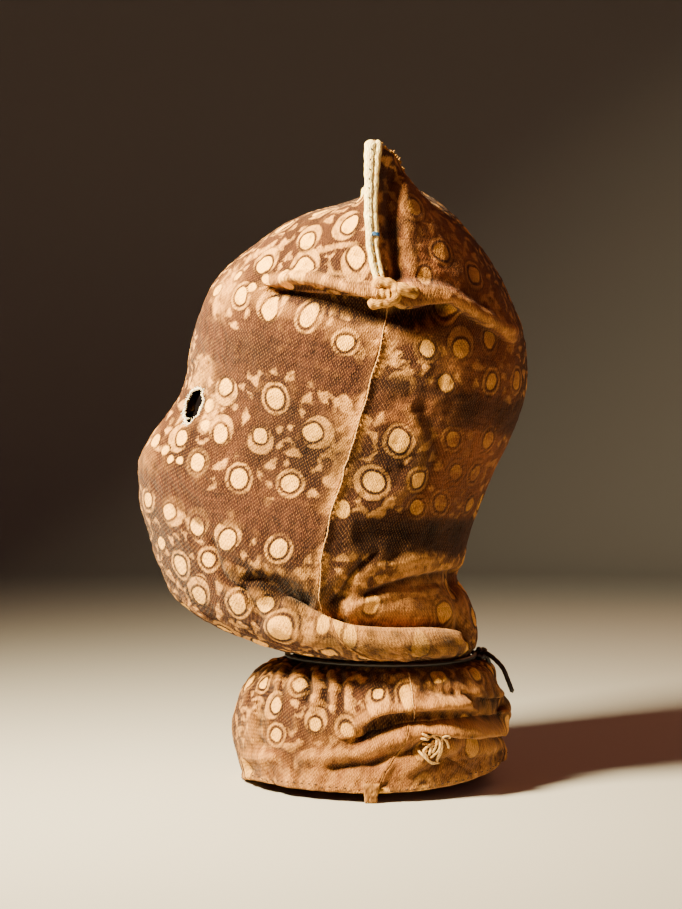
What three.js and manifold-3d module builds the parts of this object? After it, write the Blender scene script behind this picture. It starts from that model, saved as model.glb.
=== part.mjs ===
// Boloye mask: a hood of handspun cotton that covers the whole head of a dancer.
// Two cloth panels are sewn up both sides and over the crown, the two top corners of
// the bag stand up as ears, and a cord ties the bag in at the neck above its collar.
// Millimetres, +Z up. The face looks along -Y and the wearer's left side is +X.
// The origin is under the middle of the hood, on the surface that its hem rests on.

import * as THREE from "three";
import { mergeVertices } from "three/addons/utils/BufferGeometryUtils.js";
import Module from "manifold-3d";

const wasm = await Module();
wasm.setup();

// Driving dimensions
const clothThickness = 1.6;
const hemThickness = 4;
const hemLiftLeft = 6;
const hemLiftNape = 14;
const sewingGap = 0.3;
const eyeWidth = 10;
const eyeHeight = 16;
const eyePlace = new THREE.Vector3(32, -91, 249);
const eyeAim = new THREE.Vector3(0.6, -0.8, 0);
const cordDiameter = 3.2;
const cordLooseness = 1.4;
const knotRadius = 4.4;
const tabSize = new THREE.Vector3(3, 11, 11);
const tabTaper = 0.75;

// The hood is drawn by lines that run down it from crown to hem. Each point is a station,
// which numbers a row that goes once round the hood, and then the place of the line there.
const cordStation = 18;
const hemTop = 23;
const hemStation = 24;

// Down the middle of the face: y, z
const faceLine = [
  [0, 52, 398], [1, 16, 388.5], [2, -24, 375], [3, -57, 354], [4, -78, 334],
  [5, -89, 311], [6, -95, 290], [7, -97.5, 271], [8, -105, 252], [9, -121, 231],
  [10, -130, 213], [11, -129.5, 194], [12, -126, 175], [14, -110, 131],
  [15, -98, 115], [16, -74, 102], [17, -50, 93], [17.7, -28, 86], [18.3, -28, 80.5],
  [19, -46, 75], [20, -58, 63], [21, -65, 46], [22, -65, 29], [24, -56, 0],
];

// Down the middle of the back of the head: y, z
const napeLine = [
  [0, 52, 398], [1, 72, 386], [2, 93, 363], [3, 110, 339], [4, 122, 314],
  [5, 127.5, 298], [6, 130, 276], [7, 128.5, 257], [8, 122, 236], [10, 103.5, 197],
  [12, 91, 161], [13, 88, 146], [14, 83, 134], [15, 91, 120], [16, 96, 104],
  [17, 95, 93], [17.7, 93, 86], [18.3, 93, 80.5], [19, 106, 74], [20, 110, 62],
  [21, 119, 47], [22, 113.5, 34], [23, 114, 23], [24, 113, 14],
];

// Down the side seam, from the tip of the ear: x, y, z
const seamLine = [
  [0, 95, 26, 413], [1, 97, 24, 388], [2, 98, 24.5, 362], [3, 98, 29, 334],
  [4, 96, 35, 313], [5, 91, 33.5, 298], [7, 91, 22.5, 257], [9, 90, 11, 218],
  [12, 87.5, -4, 166], [14, 84, -8, 131], [15, 82, -5, 116], [16, 81, 6, 101],
  [17, 74, 26, 91], [17.7, 64, 42, 85.5], [18.3, 64, 47, 79.5], [19, 72, 49, 73],
  [20, 81, 51, 62], [21, 86, 50, 48], [22, 88.5, 44, 33], [24, 88, 22, 6],
];

// How pointed a row is at the face and at the nape: 1 is an ellipse, and more is sharper.
const facePoint = [
  [0, 1], [0.6, 3.5], [1, 4.5], [2, 2.2], [3, 1.4], [5, 1], [7, 1.1], [8, 1.45], [10, 1.8],
  [12, 1.45], [14, 1.15], [16, 1], [24, 0.95],
];
const napePoint = [[0, 1], [4, 1], [8, 0.95], [24, 0.95]];

// How a row climbs from the seam to the face or nape: low exponents climb at once.
const rowClimb = [[0, 0.7], [1, 1], [3, 2], [24, 2]];

// The crown dips beside each ear.
const crownDip = 11;
const crownDipPlace = 0.353;
const crownDipWidth = 0.2;
const crownDipStart = 0.5;
const crownDipEnd = 2.2;

// The two layers of cloth lie against each other in the tip of the ear. The lean keeps the
// layers on their own sides where both face the same way.
const earTipWidth = 0.5;
const earTipDepth = 3.8;
const seamLean = 0.3;

// The folds that show from a step away. Each follows points in side view, y and z. A fold
// stands out of the cloth by its height, or sinks into it where that is negative, within
// its width, and its lap is how far the cloth above it hangs over the cloth below.
const folds = [
  { name: "tuck under the ear", height: 6.5, width: 6.5, lap: 7.5,
    path: [[-46, 326], [-20, 318], [8, 311], [40, 306], [70, 312], [92, 303], [110, 293]] },
  { name: "hollow behind the ear", height: -12, width: 7, lap: 0, nape: true,
    path: [[36, 396], [36, 360], [38, 332]] },
  { name: "crease behind the ear", height: 3, width: 4, lap: 0, nape: true,
    path: [[45, 396], [46, 360], [50, 330]] },
  { name: "valley of the jaw", height: -7, width: 7, lap: 0,
    path: [[-40, 127], [-20, 118.5], [-4, 114.5], [18, 108], [49, 105.5], [82, 104]] },
  { name: "roll of the jaw", height: 6.5, width: 10, lap: 0,
    path: [[-32, 110], [0, 99], [30, 95], [60, 95], [84, 97]] },
  { name: "crease of the cheek", height: -3, width: 7, lap: 0,
    path: [[-56, 141], [-33, 126], [-20, 120]] },
  { name: "crease over the nape", height: -4, width: 7, lap: 0,
    path: [[5, 126], [27, 141], [40, 153]] },
  { name: "low crease over the nape", height: -4, width: 6, lap: 0,
    path: [[27, 127], [56, 132], [84, 134]] },
  { name: "deep fold of the collar", height: 4.5, width: 5, lap: 5,
    path: [[12, 42], [43, 50], [75, 52], [102, 51]] },
  { name: "second fold of the collar", height: 3, width: 4, lap: 3,
    path: [[60, 37.5], [81, 38.5], [109, 35]] },
  { name: "low hollow of the collar", height: -3, width: 7, lap: 0,
    path: [[6, 23], [43, 31], [60, 33]] },
];
const foldTaper = 14;
const foldReach = 2.2;
const middleFade = 20;
const neckBand = 0.3;
const sewnFade = 0.09;

// Socket of the eye: how deep and how wide the cloth sinks in round the hole.
const socketDepth = 3;
const socketWidth = 17;

// Plan of the head that tells which way is out of the hood.
const planHalfWidth = 90;
const planHalfDepth = 115;
const planMiddle = 25;

// How far round from the middle of the face, and from the right seam, the hem's lift takes.
const faceLiftReach = 0.4;
const napeLiftReach = 0.45;

// How far below its top the turned hem takes to reach its full thickness, in stations.
const hemTurn = 0.6;

// Mesh of a panel: how many faces lie across it and between two stations down it.
// The faces are closer together towards the seams.
const facesAcross = 24;
const seamCloseness = 1.3;
const rowBands = [
  [0, 3.4, 6], [3.4, 5.2, 7], [5.2, 14, 9], [14, 17.7, 8], [17.7, 18.3, 1], [18.3, 24, 11],
];

const colours = { cloth: 0xb58059, cord: 0x1f110e, tab: 0xd9b07c };

function smooth(t) {
  const u = THREE.MathUtils.clamp(t, 0, 1);
  return u * u * (3 - 2 * u);
}

// The place on a line at a station, on a smooth curve through its points.
function along(line, station) {
  let i = 0;
  while (i < line.length - 2 && station > line[i + 1][0]) i += 1;
  const [before, start, end, after] = [i - 1, i, i + 1, i + 2].map(
    (k) => line[THREE.MathUtils.clamp(k, 0, line.length - 1)],
  );
  const span = end[0] - start[0];
  const t = (station - start[0]) / span;
  return start.slice(1).map((value, k) => {
    const left = (end[k + 1] - before[k + 1]) / (end[0] - before[0]);
    const right = (after[k + 1] - value) / (after[0] - start[0]);
    return value * (2 * t ** 3 - 3 * t ** 2 + 1)
      + span * left * (t ** 3 - 2 * t ** 2 + t)
      + end[k + 1] * (3 * t ** 2 - 2 * t ** 3)
      + span * right * (t ** 3 - t ** 2);
  });
}

// Which way is out of the hood: level, and the same for both panels where they meet.
function outward(point) {
  return new THREE.Vector3(
    point.x / planHalfWidth ** 2, (point.y - planMiddle) / planHalfDepth ** 2, 0,
  ).normalize();
}

// The bag before it is folded. Across runs from -1 at the right seam to 1 at the left.
function bagPlace(panel, across, station) {
  const turn = Math.abs(across) * Math.PI / 2;
  const [middleY, middleZ] = along(panel === "face" ? faceLine : napeLine, station);
  const [seamX, seamY, seamZ] = along(seamLine, station);
  const [pointed] = along(panel === "face" ? facePoint : napePoint, station);
  const [climb] = along(rowClimb, station);
  const level = Math.max(Math.cos(turn), 0);
  const dip = crownDip
    * (1 - smooth((station - crownDipStart) / (crownDipEnd - crownDipStart)))
    * Math.exp(-(((Math.abs(across) - crownDipPlace) / crownDipWidth) ** 2));
  return new THREE.Vector3(
    Math.sign(across) * seamX * Math.sin(turn),
    seamY + (middleY - seamY) * level ** pointed,
    seamZ + (middleZ - seamZ) * level ** climb - dip,
  );
}

// How far a place lies above a fold in side view, and how much of the fold is left there.
function besideFold(fold, y, z) {
  let nearest = { distance: Infinity };
  for (let i = 0; i < fold.path.length - 1; i += 1) {
    const start = new THREE.Vector2(...fold.path[i]);
    const step = new THREE.Vector2(...fold.path[i + 1]).sub(start);
    const offset = new THREE.Vector2(y, z).sub(start);
    const t = offset.dot(step) / step.lengthSq();
    const held = THREE.MathUtils.clamp(t, 0, 1);
    const gap = offset.clone().addScaledVector(step, -held);
    if (gap.length() < nearest.distance) {
      const above = (step.x * offset.y - step.y * offset.x) / step.length();
      nearest = { distance: gap.length(), above, past: Math.abs(t - held) * step.length() };
    }
  }
  return { above: nearest.above, left: 1 - smooth(nearest.past / foldTaper) };
}

// Lays the folds into the bag. They are alike on both sides of the head.
function foldedPlace(panel, across, station) {
  const base = bagPlace(panel, across, station);
  const out = outward(base);
  const place = base.clone();
  for (const fold of folds) {
    if (fold.nape && panel !== "nape") continue;
    const { above, left } = besideFold(fold, base.y, base.z);
    if (Math.abs(above) > fold.width * foldReach * 2) continue;
    const u = above / fold.width;
    let share = left * smooth(Math.abs(base.x) / middleFade);
    share *= smooth((Math.abs(station - cordStation) - neckBand) / (1 - neckBand));
    if (fold.nape) share *= smooth(station) * smooth((1 - Math.abs(across)) / sewnFade);
    if (fold.lap > 0) {
      const roll = Math.tanh(u) * Math.exp(-((u / foldReach) ** 2));
      place.addScaledVector(out, fold.height * roll * share);
      place.z -= fold.lap * roll * share;
    } else {
      place.addScaledVector(out, fold.height * Math.exp(-(u ** 2)) * share);
    }
  }
  const toEye = base.clone().sub(eyePlace.clone().setX(Math.sign(base.x) * eyePlace.x));
  if (panel === "face") {
    const sunk = socketDepth * Math.exp(-(toEye.lengthSq() / socketWidth ** 2));
    place.addScaledVector(out, -sunk);
  }
  return place;
}

// The hem lies on the ground all along the right side. It lifts a little on the left,
// where the tab at the foot of the seam reaches the ground, and most at the nape.
function hemLiftAt(panel, across) {
  if (panel === "face") return hemLiftLeft * smooth(across / faceLiftReach);
  if (across < 0) return hemLiftNape * smooth(1 + across / napeLiftReach);
  return THREE.MathUtils.lerp(hemLiftNape, hemLiftLeft, smooth(across));
}

function stationsDown() {
  const list = [0];
  for (const [start, end, count] of rowBands) {
    for (let i = 1; i <= count; i += 1) list.push(start + (end - start) * i / count);
  }
  return list;
}

function acrossAt(j) {
  const even = (2 * j) / facesAcross - 1;
  return Math.sign(even) * (1 - (1 - Math.abs(even)) ** seamCloseness);
}

// The middle surface of a panel's cloth as rows of places.
function panelRows(panel) {
  return stationsDown().map((station) => {
    const row = [];
    for (let j = 0; j <= facesAcross; j += 1) {
      const across = acrossAt(j);
      const place = foldedPlace(panel, across, station);
      const flat = smooth((station - hemTop) / (hemStation - hemTop));
      place.z += flat * (hemLiftAt(panel, across) - place.z);
      row.push(place);
    }
    return row;
  });
}

// Which way the cloth of a panel faces at a place, out of the hood.
function facing(rows, forward, i, j) {
  const last = rows[0].length - 1;
  const down = rows[Math.min(i + 1, rows.length - 1)][j].clone()
    .sub(rows[Math.max(i - 1, 0)][j]);
  const over = rows[i][Math.min(j + 1, last)].clone().sub(rows[i][Math.max(j - 1, 0)]);
  const normal = over.cross(down).multiplyScalar(forward);
  if (i === rows.length - 1) normal.setZ(0);
  return normal.normalize();
}

// Closes a panel's middle surface into cloth of true thickness, thicker at the turned hem.
// Where the panels are sewn, each keeps to its own side of the seam with a gap between.
function clothSolid(panel) {
  const forward = panel === "face" ? -1 : 1;
  const rows = panelRows(panel);
  const others = panelRows(panel === "face" ? "nape" : "face");
  const stations = stationsDown();
  const across = rows[0].length;
  const positions = [];
  for (const face of [1, -1]) {
    rows.forEach((row, i) => row.forEach((place, j) => {
      const bottom = i === rows.length - 1;
      const turned = smooth((stations[i] - hemTop) / hemTurn);
      const thickness = THREE.MathUtils.lerp(clothThickness, hemThickness, turned);
      const normal = facing(rows, forward, i, j);
      const skin = place.clone().addScaledVector(normal, face * thickness / 2);
      const fromSeam = 1 - Math.abs(acrossAt(j));
      const sewn = i === 0 || fromSeam === 0
        ? 1 : (1 - smooth(fromSeam / earTipWidth)) * (1 - smooth(stations[i] / earTipDepth));
      if (sewn > 0) {
        const away = normal.clone().sub(facing(others, -forward, i, j));
        away.y += forward * seamLean;
        away.normalize();
        const apart = sewingGap / 2 + Math.abs(normal.dot(away)) * thickness / 2;
        skin.addScaledVector(away, sewn * apart);
      }
      if (bottom) skin.z = place.z;
      positions.push(skin.x, skin.y, skin.z);
    }));
  }
  const count = rows.length * across;
  const index = [];
  const quad = (a, b, c, d) => index.push(a, b, c, a, c, d);
  for (let i = 0; i < rows.length - 1; i += 1) {
    for (let j = 0; j < across - 1; j += 1) {
      const [a, b] = [i * across + j, i * across + j + 1];
      const [c, d] = [b + across, a + across];
      if (j < (across - 1) / 2) {
        quad(b, c, d, a);
        quad(count + b, count + a, count + d, count + c);
      } else {
        quad(a, b, c, d);
        quad(count + a, count + d, count + c, count + b);
      }
    }
  }
  const rim = [];
  for (let j = 0; j < across - 1; j += 1) rim.push([j + 1, j]);
  for (let i = 0; i < rows.length - 1; i += 1) rim.push([i * across, (i + 1) * across]);
  const low = (rows.length - 1) * across;
  for (let j = 0; j < across - 1; j += 1) rim.push([low + j, low + j + 1]);
  for (let i = rows.length - 1; i > 0; i -= 1) {
    rim.push([i * across + across - 1, (i - 1) * across + across - 1]);
  }
  for (const [start, end] of rim) quad(start, end, count + end, count + start);
  if (forward < 0) index.reverse();
  const geometry = new THREE.BufferGeometry();
  geometry.setAttribute("position", new THREE.Float32BufferAttribute(positions, 3));
  geometry.setIndex(index);
  return geometry;
}

function solidOf(geometry) {
  const bare = geometry.clone();
  bare.deleteAttribute("normal");
  bare.deleteAttribute("uv");
  const merged = mergeVertices(bare, 1e-4);
  return new wasm.Manifold(new wasm.Mesh({
    numProp: 3,
    vertProperties: Float32Array.from(merged.attributes.position.array),
    triVerts: Uint32Array.from(merged.index.array),
  }));
}

function geometryOf(solid) {
  const mesh = solid.getMesh();
  const geometry = new THREE.BufferGeometry();
  geometry.setAttribute("position", new THREE.Float32BufferAttribute(mesh.vertProperties, 3));
  geometry.setIndex(Array.from(mesh.triVerts));
  return geometry;
}

// A punch with the upright oval outline of an eye hole, aimed square to the face there.
function eyePunch(side) {
  const outline = new THREE.Shape();
  outline.absellipse(0, 0, eyeWidth / 2, eyeHeight / 2, 0, Math.PI * 2);
  const depth = 40;
  const punch = new THREE.ExtrudeGeometry(outline, {
    depth, bevelEnabled: false, curveSegments: 7,
  });
  punch.translate(0, 0, -depth / 2);
  const aim = new THREE.Object3D();
  aim.position.set(side * eyePlace.x, eyePlace.y, eyePlace.z);
  aim.lookAt(aim.position.clone().add(eyeAim.clone().setX(side * eyeAim.x)));
  aim.updateMatrix();
  punch.applyMatrix4(aim.matrix);
  return punch;
}

function facePanel() {
  let cloth = solidOf(clothSolid("face"));
  for (const side of [1, -1]) cloth = cloth.subtract(solidOf(eyePunch(side)));
  return geometryOf(cloth);
}

// The cord lies round the neck just clear of the cloth.
function cordPath() {
  const clearance = cordDiameter / 2 + clothThickness / 2 + cordLooseness;
  const turns = 44;
  const knotAngle = 0.03;
  const [faceY] = along(faceLine, cordStation - neckBand);
  const [napeY] = along(napeLine, cordStation - neckBand);
  const [, neckZ] = along(napeLine, cordStation);
  const [seamX, seamY] = along(seamLine, cordStation - neckBand);
  const points = [];
  for (let i = 0; i <= turns; i += 1) {
    const angle = Math.PI / 2 - knotAngle - (i / turns) * (Math.PI - knotAngle) * 2;
    const middleY = Math.sin(angle) > 0 ? napeY : faceY;
    const out = new THREE.Vector3(
      Math.cos(angle) / seamX, Math.sin(angle) / Math.abs(middleY - seamY), 0,
    ).normalize();
    points.push(new THREE.Vector3(
      seamX * Math.cos(angle),
      seamY + Math.abs(middleY - seamY) * Math.sin(angle),
      neckZ,
    ).addScaledVector(out, clearance));
  }
  return new THREE.CatmullRomCurve3(points);
}

function cordAlong(path, steps) {
  const section = new THREE.Shape();
  section.absarc(0, 0, cordDiameter / 2, 0, Math.PI * 2);
  return new THREE.ExtrudeGeometry(section, {
    steps, curveSegments: 2, extrudePath: path,
  });
}

// Ring, knot and the short end that hangs over the collar at the nape. The knot sits on the
// outside of the ring.
function neckCord() {
  const [napeY] = along(napeLine, cordStation - neckBand);
  const [, neckZ] = along(napeLine, cordStation);
  const knotY = napeY + clothThickness / 2 + knotRadius + cordLooseness + 1;
  const knot = new THREE.IcosahedronGeometry(knotRadius, 1);
  knot.translate(0, knotY, neckZ);
  const end = new THREE.CatmullRomCurve3([
    new THREE.Vector3(0, knotY, neckZ + 1),
    new THREE.Vector3(5, knotY + 6, neckZ - 0.5),
    new THREE.Vector3(9, knotY + 14, neckZ - 8),
    new THREE.Vector3(11, knotY + 18, neckZ - 17),
    new THREE.Vector3(12, knotY + 21, neckZ - 25),
  ]);
  const solid = solidOf(cordAlong(cordPath(), 48))
    .add(solidOf(knot))
    .add(solidOf(cordAlong(end, 8)));
  return geometryOf(solid);
}

// The end of the left side seam hangs below the hem as a small folded tab.
function hemTab() {
  const outline = new THREE.Shape();
  const half = tabSize.y / 2;
  outline.moveTo(-half, 0);
  outline.lineTo(-half * tabTaper, -tabSize.z);
  outline.lineTo(half * tabTaper, -tabSize.z);
  outline.lineTo(half, 0);
  outline.closePath();
  const tab = new THREE.ExtrudeGeometry(outline, {
    depth: tabSize.x, bevelEnabled: false,
  });
  tab.rotateX(Math.PI / 2);
  tab.rotateZ(Math.PI / 2);
  return tab;
}

function piece(name, geometry, colour, roughness) {
  const mesh = new THREE.Mesh(
    geometry, new THREE.MeshStandardMaterial({ color: colour, roughness, metalness: 0 }),
  );
  mesh.name = name;
  return mesh;
}

const mask = new THREE.Group();
mask.add(piece("front_panel", facePanel(), colours.cloth, 0.95));
mask.add(piece("back_panel", clothSolid("nape"), colours.cloth, 0.95));
mask.add(piece("neck_cord", neckCord(), colours.cord, 0.35));

const [seamX, seamY] = along(seamLine, hemStation);
const tab = piece("hem_tab", hemTab(), colours.tab, 0.95);
tab.position.set(seamX + hemThickness / 2 + sewingGap, seamY, tabSize.z);
mask.add(tab);

export default mask;
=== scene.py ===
# Boloye mask: a dancer's hood of handspun cotton with corner ears, eye holes, a cord at the
# neck and a short collar, printed all over with cream ring spots on brown.

import bpy
import numpy as np
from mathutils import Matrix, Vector


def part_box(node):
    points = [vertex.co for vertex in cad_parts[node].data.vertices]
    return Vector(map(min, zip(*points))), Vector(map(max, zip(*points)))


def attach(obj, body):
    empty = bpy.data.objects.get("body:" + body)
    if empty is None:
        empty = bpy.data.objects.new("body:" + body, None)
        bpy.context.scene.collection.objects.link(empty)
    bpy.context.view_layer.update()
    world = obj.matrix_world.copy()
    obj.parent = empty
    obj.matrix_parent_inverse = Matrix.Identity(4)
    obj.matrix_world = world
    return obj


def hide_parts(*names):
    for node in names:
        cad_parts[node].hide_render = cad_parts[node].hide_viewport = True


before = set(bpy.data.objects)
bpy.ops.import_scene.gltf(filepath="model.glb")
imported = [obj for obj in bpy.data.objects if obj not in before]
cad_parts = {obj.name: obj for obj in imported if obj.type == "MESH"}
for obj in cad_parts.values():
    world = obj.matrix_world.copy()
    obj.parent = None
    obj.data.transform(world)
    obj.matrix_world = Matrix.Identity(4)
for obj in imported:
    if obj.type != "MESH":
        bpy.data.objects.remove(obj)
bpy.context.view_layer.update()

# The camera
# The mask is seen level from the wearer's left side, from 1.2 m. A pixel of the photograph
# is 0.675 mm at the middle of the mask.
metre = 0.001
photo_width = 682
photo_height = 909
pixel_size = 0.675
camera_distance = 1200
camera_y = 5.7
camera_z = 217.5
sensor_height = 36


def put_in_scene(name, data):
    """Places a mesh, a lamp or a camera in the scene."""
    thing = bpy.data.objects.new(name, data)
    bpy.context.scene.collection.objects.link(thing)
    return thing


camera_data = bpy.data.cameras.new("side_camera")
camera_data.sensor_fit = "VERTICAL"
camera_data.sensor_height = sensor_height
camera_data.lens = sensor_height * camera_distance / (photo_height * pixel_size)
camera = put_in_scene("side_camera", camera_data)
camera.location = (camera_distance * metre, camera_y * metre, camera_z * metre)
camera.rotation_euler = (np.pi / 2, 0, np.pi / 2)
bpy.context.scene.camera = camera


def in_photo(places):
    """The pixels of the photograph that places on the mask are seen at."""
    scale = camera_distance / ((camera_distance - places[..., 0]) * pixel_size)
    across = photo_width / 2 + (places[..., 1] - camera_y) * scale
    down = photo_height / 2 - (places[..., 2] - camera_z) * scale
    return np.stack([across, down], axis=-1)


# The bag
# The hood is one bag of two cloth panels, sewn up both sides and over the crown. Lines run
# down it in the middle of the face and of the nape and along the side seam. They number its
# rows by stations from crown to hem.
hem_station = 24
hem_top = 23
neck_station = 18
neck_band = 0.3

# Down the middle of the face: station, y, z
face_line = [
    (0, 52, 398), (1, 16, 388.5), (2, -24, 375), (3, -57, 354), (4, -78, 334),
    (5, -89, 311), (6, -95, 290), (7, -97.5, 271), (8, -105, 252), (9, -121, 231),
    (10, -130, 213), (11, -129.5, 194), (12, -126, 175), (14, -110, 131),
    (15, -98, 115), (16, -74, 102), (17, -50, 93), (17.7, -28, 86), (18.3, -28, 80.5),
    (19, -46, 75), (20, -58, 63), (21, -65, 46), (22, -66, 30), (23, -63, 15), (24, -55, 0),
]

# Down the middle of the back of the head: station, y, z
nape_line = [
    (0, 52, 398), (1, 72, 386), (2, 93, 363), (3, 110, 339), (4, 122, 314),
    (5, 127.5, 298), (6, 130, 276), (7, 128.5, 257), (8, 122, 236), (10, 103.5, 197),
    (12, 91, 161), (13, 88, 146), (14, 83, 134), (15, 91, 120), (16, 96, 104),
    (17, 95, 93), (17.7, 93, 86), (18.3, 93, 80.5), (19, 106, 74), (20, 110, 62),
    (21, 119, 47), (22, 113.5, 34), (23, 114, 23), (24, 113, 14),
]

# Down the side seam from the tip of the ear: station, x, y, z
seam_line = [
    (0, 95, 26, 413), (1, 97, 24, 388), (2, 98, 24.5, 362), (3, 98, 29, 334),
    (4, 96, 35, 313), (5, 91, 33.5, 298), (7, 91, 22.5, 257), (9, 90, 11, 218),
    (12, 87.5, -4, 166), (14, 84, -8, 131), (15, 82, -5, 116), (16, 81, 6, 101),
    (17, 74, 26, 91), (17.7, 64, 42, 85.5), (18.3, 64, 47, 79.5), (19, 72, 49, 73),
    (20, 81, 51, 62), (21, 86, 50, 48), (22, 88.5, 44, 33), (24, 88, 22, 6),
]

# How pointed a row is at the face and at the nape, and how fast it climbs from the seam
face_point = [
    (0, 1), (0.6, 3.5), (1, 4.5), (2, 2.2), (3, 1.4), (5, 1), (7, 1.1), (8, 1.45), (10, 1.8),
    (12, 1.45), (14, 1.15), (16, 1), (24, 0.95),
]
nape_point = [(0, 1), (4, 1), (8, 0.95), (24, 0.95)]
row_climb = [(0, 0.7), (1, 1), (3, 2), (24, 2)]
crown_dip = 11
crown_dip_place = 0.353
crown_dip_width = 0.2
crown_dip_rows = (0.5, 2.2)


def smooth(t):
    """A soft step from 0 to 1."""
    u = np.clip(t, 0, 1)
    return u * u * (3 - 2 * u)


def along(line, station):
    """The places on a smooth curve through a line's points."""
    line = np.array(line, float)
    at, value = line[:, 0], line[:, 1:]
    i = np.clip(np.searchsorted(at, station, side="left") - 1, 0, len(at) - 2)
    before, after = np.maximum(i - 1, 0), np.minimum(i + 2, len(at) - 1)
    span = (at[i + 1] - at[i])[:, None]
    t = (station - at[i])[:, None] / span
    left = (value[i + 1] - value[before]) / (at[i + 1] - at[before])[:, None]
    right = (value[after] - value[i]) / (at[after] - at[i])[:, None]
    return (
        value[i] * (2 * t**3 - 3 * t**2 + 1)
        + span * left * (t**3 - 2 * t**2 + t)
        + value[i + 1] * (3 * t**2 - 2 * t**3)
        + span * right * (t**3 - t**2)
    )


def bag_places(panel, across, station):
    """The bag before it is folded. Across runs from -1 at the right seam to 1 at the left."""
    turn = np.abs(across) * np.pi / 2
    middle = along(face_line if panel == "face" else nape_line, station)
    seam = along(seam_line, station)
    pointed = along(face_point if panel == "face" else nape_point, station)
    climb = along(row_climb, station)
    level = np.clip(np.cos(turn), 0, 1)[None, :]
    start, end = crown_dip_rows
    dip = crown_dip * (1 - smooth((station - start) / (end - start)))[:, None]
    dip = dip * np.exp(-(((np.abs(across) - crown_dip_place) / crown_dip_width) ** 2))
    x = seam[:, :1] * (np.sign(across) * np.sin(turn))
    y = seam[:, 1:2] + (middle[:, :1] - seam[:, 1:2]) * level**pointed
    z = seam[:, 2:3] + (middle[:, 1:2] - seam[:, 2:3]) * level**climb - dip
    return np.stack([x, y, z], axis=-1)


# The folds
# The soft cloth hangs in laps over the cord and under the ears. Each fold follows a path in
# side view, y and z, and stands out by its height within its width. Its lap is how far the
# cloth above it hangs over the cloth below.
main_folds = [
    # height, width, lap, panels, path; first the tuck under the ear
    (6.5, 6.5, 7.5, "both", [(-36, 325), (-18, 321), (8, 316), (40, 312), (70, 313), (92, 303),
                             (110, 293)]),
    # the hollow behind the ear and the ridge beside it
    (-9.5, 7, 0, "nape", [(36, 396), (36, 360), (38, 332)]),
    (0.8, 4, 0, "nape", [(45, 396), (46, 360), (50, 330)]),
    # the valley and the roll of the jaw, and the creases of the cheek and the nape
    (-7, 7, 0, "both", [(-40, 127), (-20, 118.5), (-4, 114.5), (18, 108), (49, 105.5),
                        (82, 104)]),
    (6.5, 10, 0, "both", [(-32, 110), (0, 99), (30, 95), (60, 95), (84, 97)]),
    (-3, 7, 0, "both", [(-56, 141), (-33, 126), (-20, 120)]),
    (-4, 7, 0, "both", [(5, 126), (27, 141), (40, 153)]),
    (-4, 6, 0, "both", [(27, 127), (56, 132), (84, 134)]),
    # the two laps of the collar and its low hollow
    (5, 5, 7, "both", [(12, 41), (28, 46), (43, 50), (75, 52), (102, 51)]),
    (3, 4, 3, "both", [(60, 37.5), (81, 38.5), (109, 35)]),
    (-3, 7, 0, "both", [(6, 23), (43, 31), (60, 33)]),
]
fold_taper = 14
fold_reach = 2.2
middle_fade = 20
sewn_fade = 0.09
path_steps = 9
far_off = 1000

# The head in plan, which tells what way is out of the hood
plan_half_width = 90
plan_half_depth = 115
plan_middle = 25


def beside_path(path, y, z, reach):
    """How far places lie above a path in side view, and how far past its ends. Places out of
    its reach count as far off."""
    numbered = [(i, *point) for i, point in enumerate(path)]
    points = along(numbered, np.linspace(0, len(path) - 1, (len(path) - 1) * path_steps + 1))
    low, high = points.min(axis=0) - reach, points.max(axis=0) + reach
    near = (y > low[0]) & (y < high[0]) & (z > low[1]) & (z < high[1])
    near_y, near_z = y[near], z[near]
    nearest = np.full(near_y.shape, np.inf)
    near_above, near_past = np.zeros_like(nearest), np.zeros_like(nearest)
    for start, end in zip(points[:-1], points[1:]):
        step = end - start
        length = np.hypot(*step)
        offset_y, offset_z = near_y - start[0], near_z - start[1]
        t = (offset_y * step[0] + offset_z * step[1]) / length**2
        held = np.clip(t, 0, 1)
        gap = np.hypot(offset_y - step[0] * held, offset_z - step[1] * held)
        closer = gap < nearest
        nearest[closer] = gap[closer]
        near_above[closer] = ((step[0] * offset_z - step[1] * offset_y) / length)[closer]
        near_past[closer] = (np.abs(t - held) * length)[closer]
    above, past = np.full(y.shape, float(far_off)), np.full(y.shape, float(far_off))
    above[near], past[near] = near_above, near_past
    return above, past


def moved_by_fold(above, height, width, lap):
    """How far out and how far down a fold moves the cloth at a distance above its path."""
    u = above / width
    if lap == 0:
        return height * np.exp(-(u**2)), np.zeros_like(u)
    roll = np.tanh(u) * np.exp(-((u / fold_reach) ** 2))
    return height * roll, lap * roll


def unit(vectors):
    """Vectors that point the same ways with a length of 1."""
    return vectors / np.maximum(np.linalg.norm(vectors, axis=-1, keepdims=True), 1e-9)


def fold_bag(panel, base, across, station):
    """Lays the main folds into the bag. They are alike on both sides of the head."""
    out = unit(np.stack([
        base[..., 0] / plan_half_width**2,
        (base[..., 1] - plan_middle) / plan_half_depth**2,
        np.zeros(base.shape[:2]),
    ], axis=-1))
    share = smooth(np.abs(base[..., 0]) / middle_fade)
    neck = smooth((np.abs(station - neck_station) - neck_band) / (1 - neck_band))
    share = share * neck[:, None]
    sewn = smooth(station)[:, None] * smooth((1 - np.abs(across)) / sewn_fade)
    places = base.copy()
    for height, width, lap, panels, path in main_folds:
        if panels == "nape" and panel != "nape":
            continue
        reach = max(width * fold_reach * 2, fold_taper)
        above, past = beside_path(path, base[..., 1], base[..., 2], reach)
        held = share * (1 - smooth(past / fold_taper))
        if panels == "nape":
            held = held * sewn
        outwards, down = moved_by_fold(above, height, width, lap)
        places += out * (outwards * held)[..., None]
        places[..., 2] -= down * held
    return places


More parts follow.
